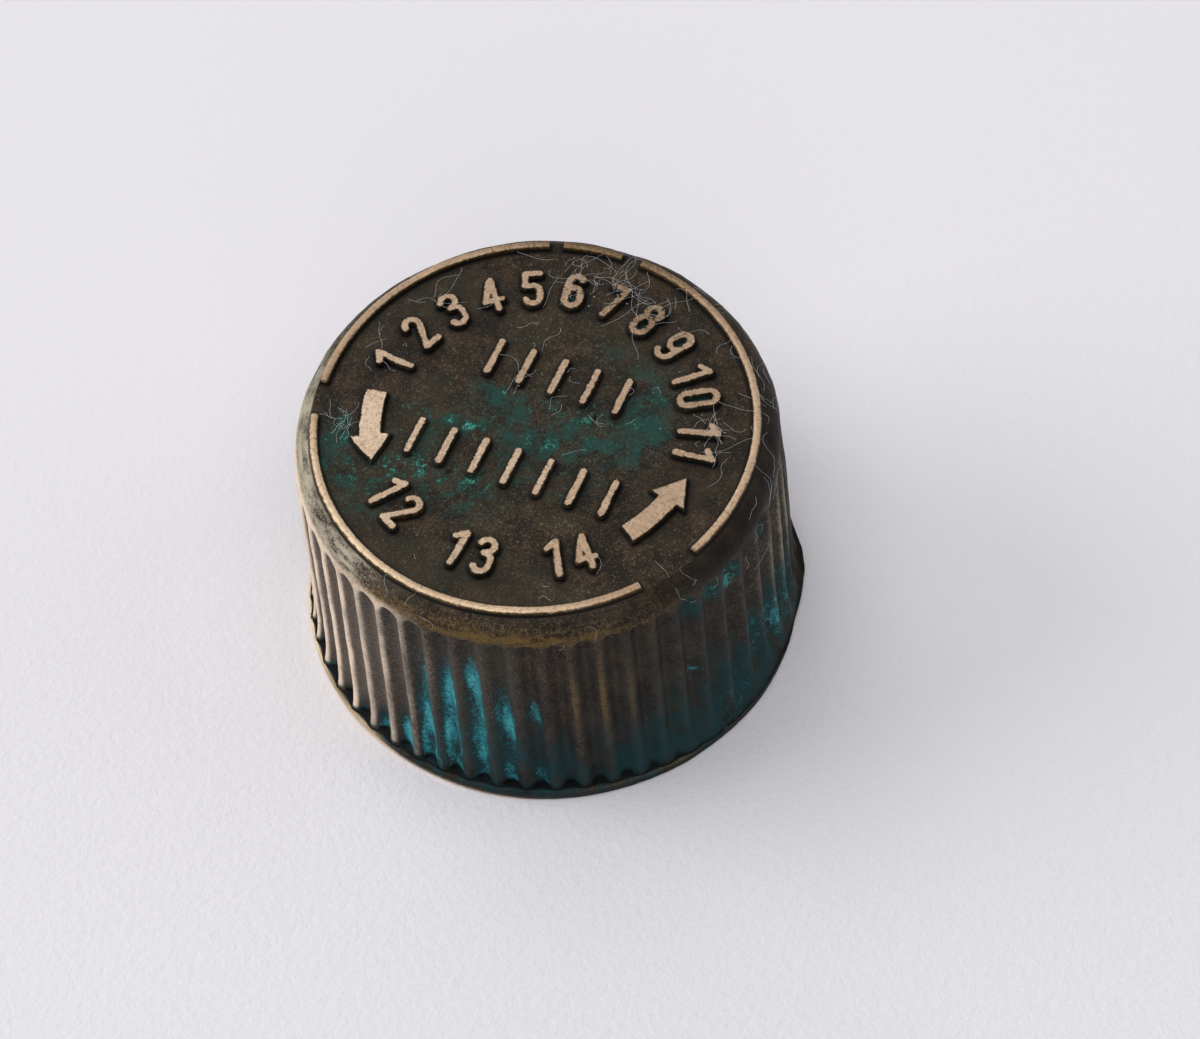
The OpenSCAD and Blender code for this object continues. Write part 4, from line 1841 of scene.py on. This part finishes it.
@dataclass(frozen=True)
class PatinatedBronze:
    """Dark brown patina over bronze, with verdigris, grime, ochre wear and rubbed metal, and the
    painted light and shade that the masks carry.

    Each layer is a mix over the one below. Its factor is a mask, roughened by noise and passed
    through a smooth rise, so that soft masks end in crisp and ragged edges.

    Attributes:
        sand_size: Size in millimetres of the grain of the casting, as for the next five.
        speck_gap: Distance between specks of dust.
        speck_r: Radius of a speck, as a share of that distance.
        bump_strength: How strongly the fine relief is shaded.
        bump_depth: Its depth in millimetres.
        specular: Strength of the plain reflection.
    """

    umber: Colour = srgb(29, 22, 15)
    umber_light: Colour = srgb(62, 47, 32)
    olive: Colour = srgb(54, 50, 36)
    slate: Colour = srgb(136, 122, 110)
    ochre: Colour = srgb(116, 90, 46)
    sea_dark: Colour = srgb(13, 56, 62)
    sea_light: Colour = srgb(58, 166, 178)
    leaf_dark: Colour = srgb(25, 62, 55)
    leaf_light: Colour = srgb(64, 156, 138)
    frost: Colour = srgb(132, 212, 214)
    # Chalk; the same colour paints a sheen on a few ridges.
    chalk: Colour = srgb(186, 177, 154)
    soot: Colour = srgb(5, 6, 7)
    tarnished: Colour = srgb(112, 92, 66)
    metal_dull: Colour = srgb(178, 150, 124)
    metal: Colour = srgb(252, 230, 206)
    gold: Colour = srgb(204, 172, 122)
    dust: Colour = srgb(190, 190, 188)
    sand_size: float = 0.11
    fleck_size: float = 0.28
    streak_size: float = 0.5
    cloud_size: float = 1.8
    stain_size: float = 5.0
    speck_gap: float = 0.9
    speck_r: float = 0.09
    bump_strength: float = 0.7
    bump_depth: float = 0.035
    specular: float = 0.24

    def noises(self, k: Sketch) -> Noises:
        """Adds the noises that the layers share.

        Args:
            k: The sketch of the material.

        Returns:
            The noises.
        """
        even, drawn = k.stretched((1, 1, 1)), k.stretched((1, 1, 0.3))
        sand = k.noise(even, self.sand_size, 3, 0.6)
        fleck = k.noise(even, self.fleck_size, 5, 0.65)
        return Noises(
            even, sand, k.noise(even, self.cloud_size, 4, 0.6), fleck,
            k.noise(drawn, self.streak_size, 4, 0.6),
            sand.rise(0.3, 0.7) + fleck.rise(0.3, 0.7) - 1.0,
        )

    def ground(self, k: Sketch, n: Noises) -> bpy.types.NodeSocket:
        """Brown patina: clouds, olive stains, grey film with painted light in the flutes, light and
        dark grains, and ochre wear with a painted reflection on the flange's lowest edge.

        Args:
            k: The sketch of the material.
            n: Its noises.

        Returns:
            The colour's socket.
        """
        colour = k.mix((n.cloud + n.grit * 0.15).rise(0.35, 0.7), self.umber, self.umber_light)
        stain = k.noise(n.even, self.stain_size, 2).rise(0.45, 0.65)
        colour = k.mix(stain * 0.5, colour, self.olive)
        # Grey film, which in the flutes also carries painted light on their lit halves.
        film = (k.mask(Mask.HOLLOW) + n.grit * 0.2).rise(0.0, 1.1)
        colour = k.mix(film, colour, self.slate)
        colour = k.mix(n.sand.rise(0.56, 0.78) * 0.24, colour, self.metal_dull)
        colour = k.mix(n.sand.rise(0.46, 0.3) * 0.5, colour, self.soot)
        # Ochre wear; on the flange's lowest edge at the front it is a painted reflection.
        worn = (k.mask(Mask.OCHRE) + n.grit * 0.3).rise(0.2, 1.0)
        return k.mix(worn * 0.85, colour, self.ochre)

    def shine(self, k: Sketch, n: Noises) -> bpy.types.NodeSocket:
        """Colour of bare metal and of the painted reflection on the flange's lowest edge:
        tarnished, dull or bright, and golden where it is ochre.

        Args:
            k: The sketch of the material.
            n: Its noises.

        Returns:
            The colour's socket.
        """
        bright = k.mask(Mask.BRIGHT) + n.grit * 0.18
        colour = k.mix(k.mask(Mask.OCHRE) * 0.7, self.metal, self.gold)
        colour = k.mix(bright.rise(0.4, 1.1), self.metal_dull, colour)
        return k.mix(bright.rise(0.5, 0.0), colour, self.tarnished)

    def make(self) -> bpy.types.Material:
        """Builds the finish.

        Returns:
            The material.
        """
        material = bpy.data.materials.new("patinated_bronze")
        k = Sketch(material)
        n = self.noises(k)
        leafy = k.mask(Mask.LEAFY)
        chalk_and_sheen = (k.mask(Mask.PALE) + n.grit * 0.3 + (n.cloud - 0.5) * 0.6).rise(0.1, 1.1)
        sea = (k.mask(Mask.GREEN) + n.grit * 0.45 + (n.cloud - 0.5) * 0.5).rise(0.1, 1.0)
        crust = k.mask(Mask.CRUST) + n.grit * (leafy * 0.25 + 0.38) + (n.streak - 0.5) * 0.5
        bloom = crust.rise(0.3, 1.15)
        dark = (k.mask(Mask.GRIME) + n.grit * 0.25).rise(0.2, 0.85)
        crisp = (k.mask(Mask.RUB) + n.grit * 0.3).rise(0.5, 0.95)
        soft = (k.mask(Mask.WEAR) + n.grit * 0.08).rise(0.05, 0.95)
        bare = crisp.most(soft)
        specks = k.specks(n.even, self.speck_gap, self.speck_r)
        specks = specks * k.mask(Mask.DUST).rise(0.05, 0.6)

        # Chalk on the shoulder, and a painted sheen on a few ridges.
        colour = k.mix(chalk_and_sheen * 0.85, self.ground(k, n), self.chalk)
        colour = k.mix(sea * 0.92, colour, k.mix(leafy, self.sea_dark, self.leaf_dark))
        colour = k.mix(bloom, colour, k.mix(leafy, self.sea_light, self.leaf_light))
        # Palest crust where it is thickest, partly a painted highlight on the lit halves of the
        # flutes.
        colour = k.mix(crust.rise(0.85, 1.35) * 0.55, colour, self.frost)
        # Near black where the grime mask is high: dirt, and painted shade at the flutes' feet and
        # on the flange.
        colour = k.mix(dark * 0.92, colour, self.soot)
        # Bare metal, and on the flange's lowest edge a painted reflection.
        colour = k.mix(bare, colour, self.shine(k, n))
        colour = k.mix(specks * 0.8, colour, self.dust)

        relief = n.sand * 0.5 + n.fleck * 0.5 + bloom * 0.6 + chalk_and_sheen * 0.5
        k.surface({
            "Base Color": colour,
            "Roughness": 0.6 - bare * 0.14 + sea * 0.2 - n.sand.rise(0.55, 0.8) * 0.1,
            "Metallic": 0.25 + bare * 0.3 - sea * 0.25,
            "Normal": k.bump(relief, self.bump_strength, self.bump_depth),
            "Specular IOR Level": self.specular,
        })
        return material


@dataclass(frozen=True)
class LintFibre:
    """Matt off-white fibre."""

    colour: Colour = srgb(206, 208, 210)
    roughness: float = 0.9

    def make(self) -> bpy.types.Material:
        """Builds the finish.

        Returns:
            The material.
        """
        material = bpy.data.materials.new("lint")
        Sketch(material).surface({"Base Color": self.colour, "Roughness": self.roughness})
        return material


# ---------------------------------------------------------------- stage


@dataclass(frozen=True)
class Lamp:
    """Round soft lamp aimed at the origin.

    Attributes:
        name: Name of the lamp.
        azimuth: Direction it stands in, in degrees.
        elevation: Its height above the horizon, in degrees.
        width: How wide it looks from the origin, in degrees.
        share: What it adds to the floor, in units of an even white sky.
        distance: How far off it stands, in metres.
    """

    name: str
    azimuth: float
    elevation: float
    width: float
    share: float
    distance: float = 2.0

    def place(self) -> bpy.types.Object:
        """Makes the lamp.

        A lamp of power P lights a plane that faces it from distance D with P / (pi D^2), and
        the floor with that times the sine of the elevation.

        Returns:
            The lamp's object.
        """
        e, a = math.radians(self.elevation), math.radians(self.azimuth)
        away = Vector((math.cos(e) * math.cos(a), math.cos(e) * math.sin(a), math.sin(e)))
        data = bpy.data.lights.new(self.name, "AREA")
        data.shape = "DISK"
        data.size = 2 * self.distance * math.tan(math.radians(self.width / 2))
        data.energy = self.share * math.pi**2 * self.distance**2 / math.sin(e)
        lamp = bpy.data.objects.new(self.name, data)
        lamp.location = away * self.distance
        lamp.rotation_euler = away.to_track_quat("Z", "Y").to_euler()
        bpy.context.scene.collection.objects.link(lamp)
        return lamp


@dataclass(frozen=True)
class Studio:
    """Pale floor, soft light from the left and the camera.

    The camera's place is held in its own directions: how far the origin lies to the right of,
    above and behind the picture's centre line.
    """

    image_w: int = 1200
    focal_px: float = 3500.0
    sensor_w: float = 36.0
    azimuth: float = 28.0
    elevation: float = 56.57
    roll: float = -5.62
    origin_right: float = -3.24
    origin_up: float = -4.60
    distance: float = 249.6
    floor_half: float = 0.6
    floor_colour: Colour = srgb(226, 224, 229)
    crumb_colour: Colour = srgb(120, 108, 104)
    crumb_gap: float = 11.0
    crumb_r: float = 0.014
    tooth_size: float = 0.6
    tooth_depth: float = 0.105
    tooth_from: tuple[float, float] = (-45.0, 20.0)
    lamps: tuple[Lamp, ...] = (
        Lamp("window", 198.0, 25.0, 45.0, 0.25),
        Lamp("window_end", 138.0, 25.0, 40.0, 0.065),
        Lamp("skylight", 161.0, 60.0, 40.0, 0.18),
        Lamp("ceiling", 296.0, 76.0, 60.0, 0.54),
        Lamp("near_wall", 298.0, 36.0, 40.0, 0.09),
        Lamp("right_wall", 28.0, 36.0, 40.0, 0.085),
        Lamp("far_corner", 88.0, 36.0, 40.0, 0.045),
    )
    sky: float = 0.01

    def camera(self) -> bpy.types.Object:
        """Places the camera.

        Returns:
            The camera's object.
        """
        e, roll = math.radians(self.elevation), math.radians(self.roll)
        turn = Matrix.Rotation(math.radians(self.azimuth), 3, "Z")
        right = turn @ Vector((1, 0, 0))
        up = turn @ Vector((0, math.sin(e), math.cos(e)))
        back = turn @ Vector((0, -math.cos(e), math.sin(e)))
        tilted_right = right * math.cos(roll) + up * math.sin(roll)
        tilted_up = up * math.cos(roll) - right * math.sin(roll)
        data = bpy.data.cameras.new("camera")
        data.sensor_fit = "HORIZONTAL"
        data.sensor_width = self.sensor_w
        data.lens = self.focal_px / self.image_w * self.sensor_w
        data.clip_start, data.clip_end = 0.01, 10.0
        eye = back * self.distance - tilted_right * self.origin_right - tilted_up * self.origin_up
        pose = Matrix((tilted_right, tilted_up, back)).transposed().to_4x4()
        pose.translation = eye * MM
        camera = bpy.data.objects.new("camera", data)
        camera.matrix_world = pose
        bpy.context.scene.collection.objects.link(camera)
        bpy.context.scene.camera = camera
        return camera

    def floor(self) -> bpy.types.Object:
        """Lays the pale floor.

        Its tooth is a bump that stands out on the side towards the camera and fades behind.

        Returns:
            The floor's object.
        """
        h = self.floor_half / MM
        corners = np.array([[-h, -h, 0], [h, -h, 0], [h, h, 0], [-h, h, 0]], float)
        piece = make_mesh("floor", corners, [np.array([[0, 1, 2, 3]])], {}, 30)
        material = bpy.data.materials.new("paper")
        k = Sketch(material)
        even = k.stretched((1, 1, 1))
        turn = math.radians(self.azimuth)
        towards = {0: even, 1: (math.sin(turn), -math.cos(turn), 0.0)}
        near = k.value("ShaderNodeVectorMath", {"operation": "DOT_PRODUCT"}, towards, "Value")
        tooth = k.noise(even, self.tooth_size, 4, 0.6) * (near.rise(*self.tooth_from) + 0.25)
        crumbs = k.specks(even, self.crumb_gap, self.crumb_r)
        k.surface({
            "Base Color": k.mix(crumbs * 0.7, self.floor_colour, self.crumb_colour),
            "Roughness": 0.9,
            "Normal": k.bump(tooth, 0.8, self.tooth_depth),
        })
        piece.data.materials.append(material)
        piece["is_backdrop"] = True
        return piece

    def lights(self) -> None:
        """Lights the stage: soft lamps and an even dim sky."""
        for lamp in self.lamps:
            lamp.place()
        world = bpy.data.worlds.new("sky")
        bpy.context.scene.world = world
        world.use_nodes = True
        background = world.node_tree.nodes["Background"]
        background.inputs["Color"].default_value = (1, 1, 1, 1)
        background.inputs["Strength"].default_value = self.sky

    def build(self) -> None:
        """Sets up camera, floor, light and colour."""
        self.camera()
        self.floor()
        self.lights()
        bpy.context.scene.view_settings.view_transform = "Standard"


# ---------------------------------------------------------------- assembly


@dataclass
class Cap:
    """The whole cap: its pieces and its finish."""

    sizes: CapSizes
    bronze: PatinatedBronze = field(default_factory=PatinatedBronze)
    fibre: LintFibre = field(default_factory=LintFibre)

    def build(self) -> list[bpy.types.Object]:
        """Makes every piece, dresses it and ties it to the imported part.

        Returns:
            The pieces.
        """
        bronze, fibre = self.bronze.make(), self.fibre.make()
        makers = (
            (TopPlate(self.sizes), bronze), (Skirt(self.sizes), bronze),
            (NeckThread(self.sizes), bronze), (Lint(self.sizes), fibre),
        )
        pieces = []
        for maker, material in makers:
            piece = maker.build()
            piece.data.materials.append(material)
            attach(piece, BODY)
            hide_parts(NODE)
            faces = sum(len(p.vertices) - 2 for p in piece.data.polygons)
            log.info("%s: %d triangles", piece.name, faces)
            pieces.append(piece)
        return pieces


def write_sizes() -> None:
    """Gathers the solid's box and the dressed part's box as plain lists."""
    boxes = {"cad": cad_bounds, "visual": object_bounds()}
    plain = {name: [[float(c) for c in corner] for corner in box] for name, box in boxes.items()}


def main() -> None:
    """Builds the stage and the cap."""
    logging.basicConfig(level=logging.INFO, format="%(name)s: %(message)s")
    Studio().build()
    Cap(CapSizes.from_frame(frame)).build()
    write_sizes()


if __name__ == "__main__":
    main()
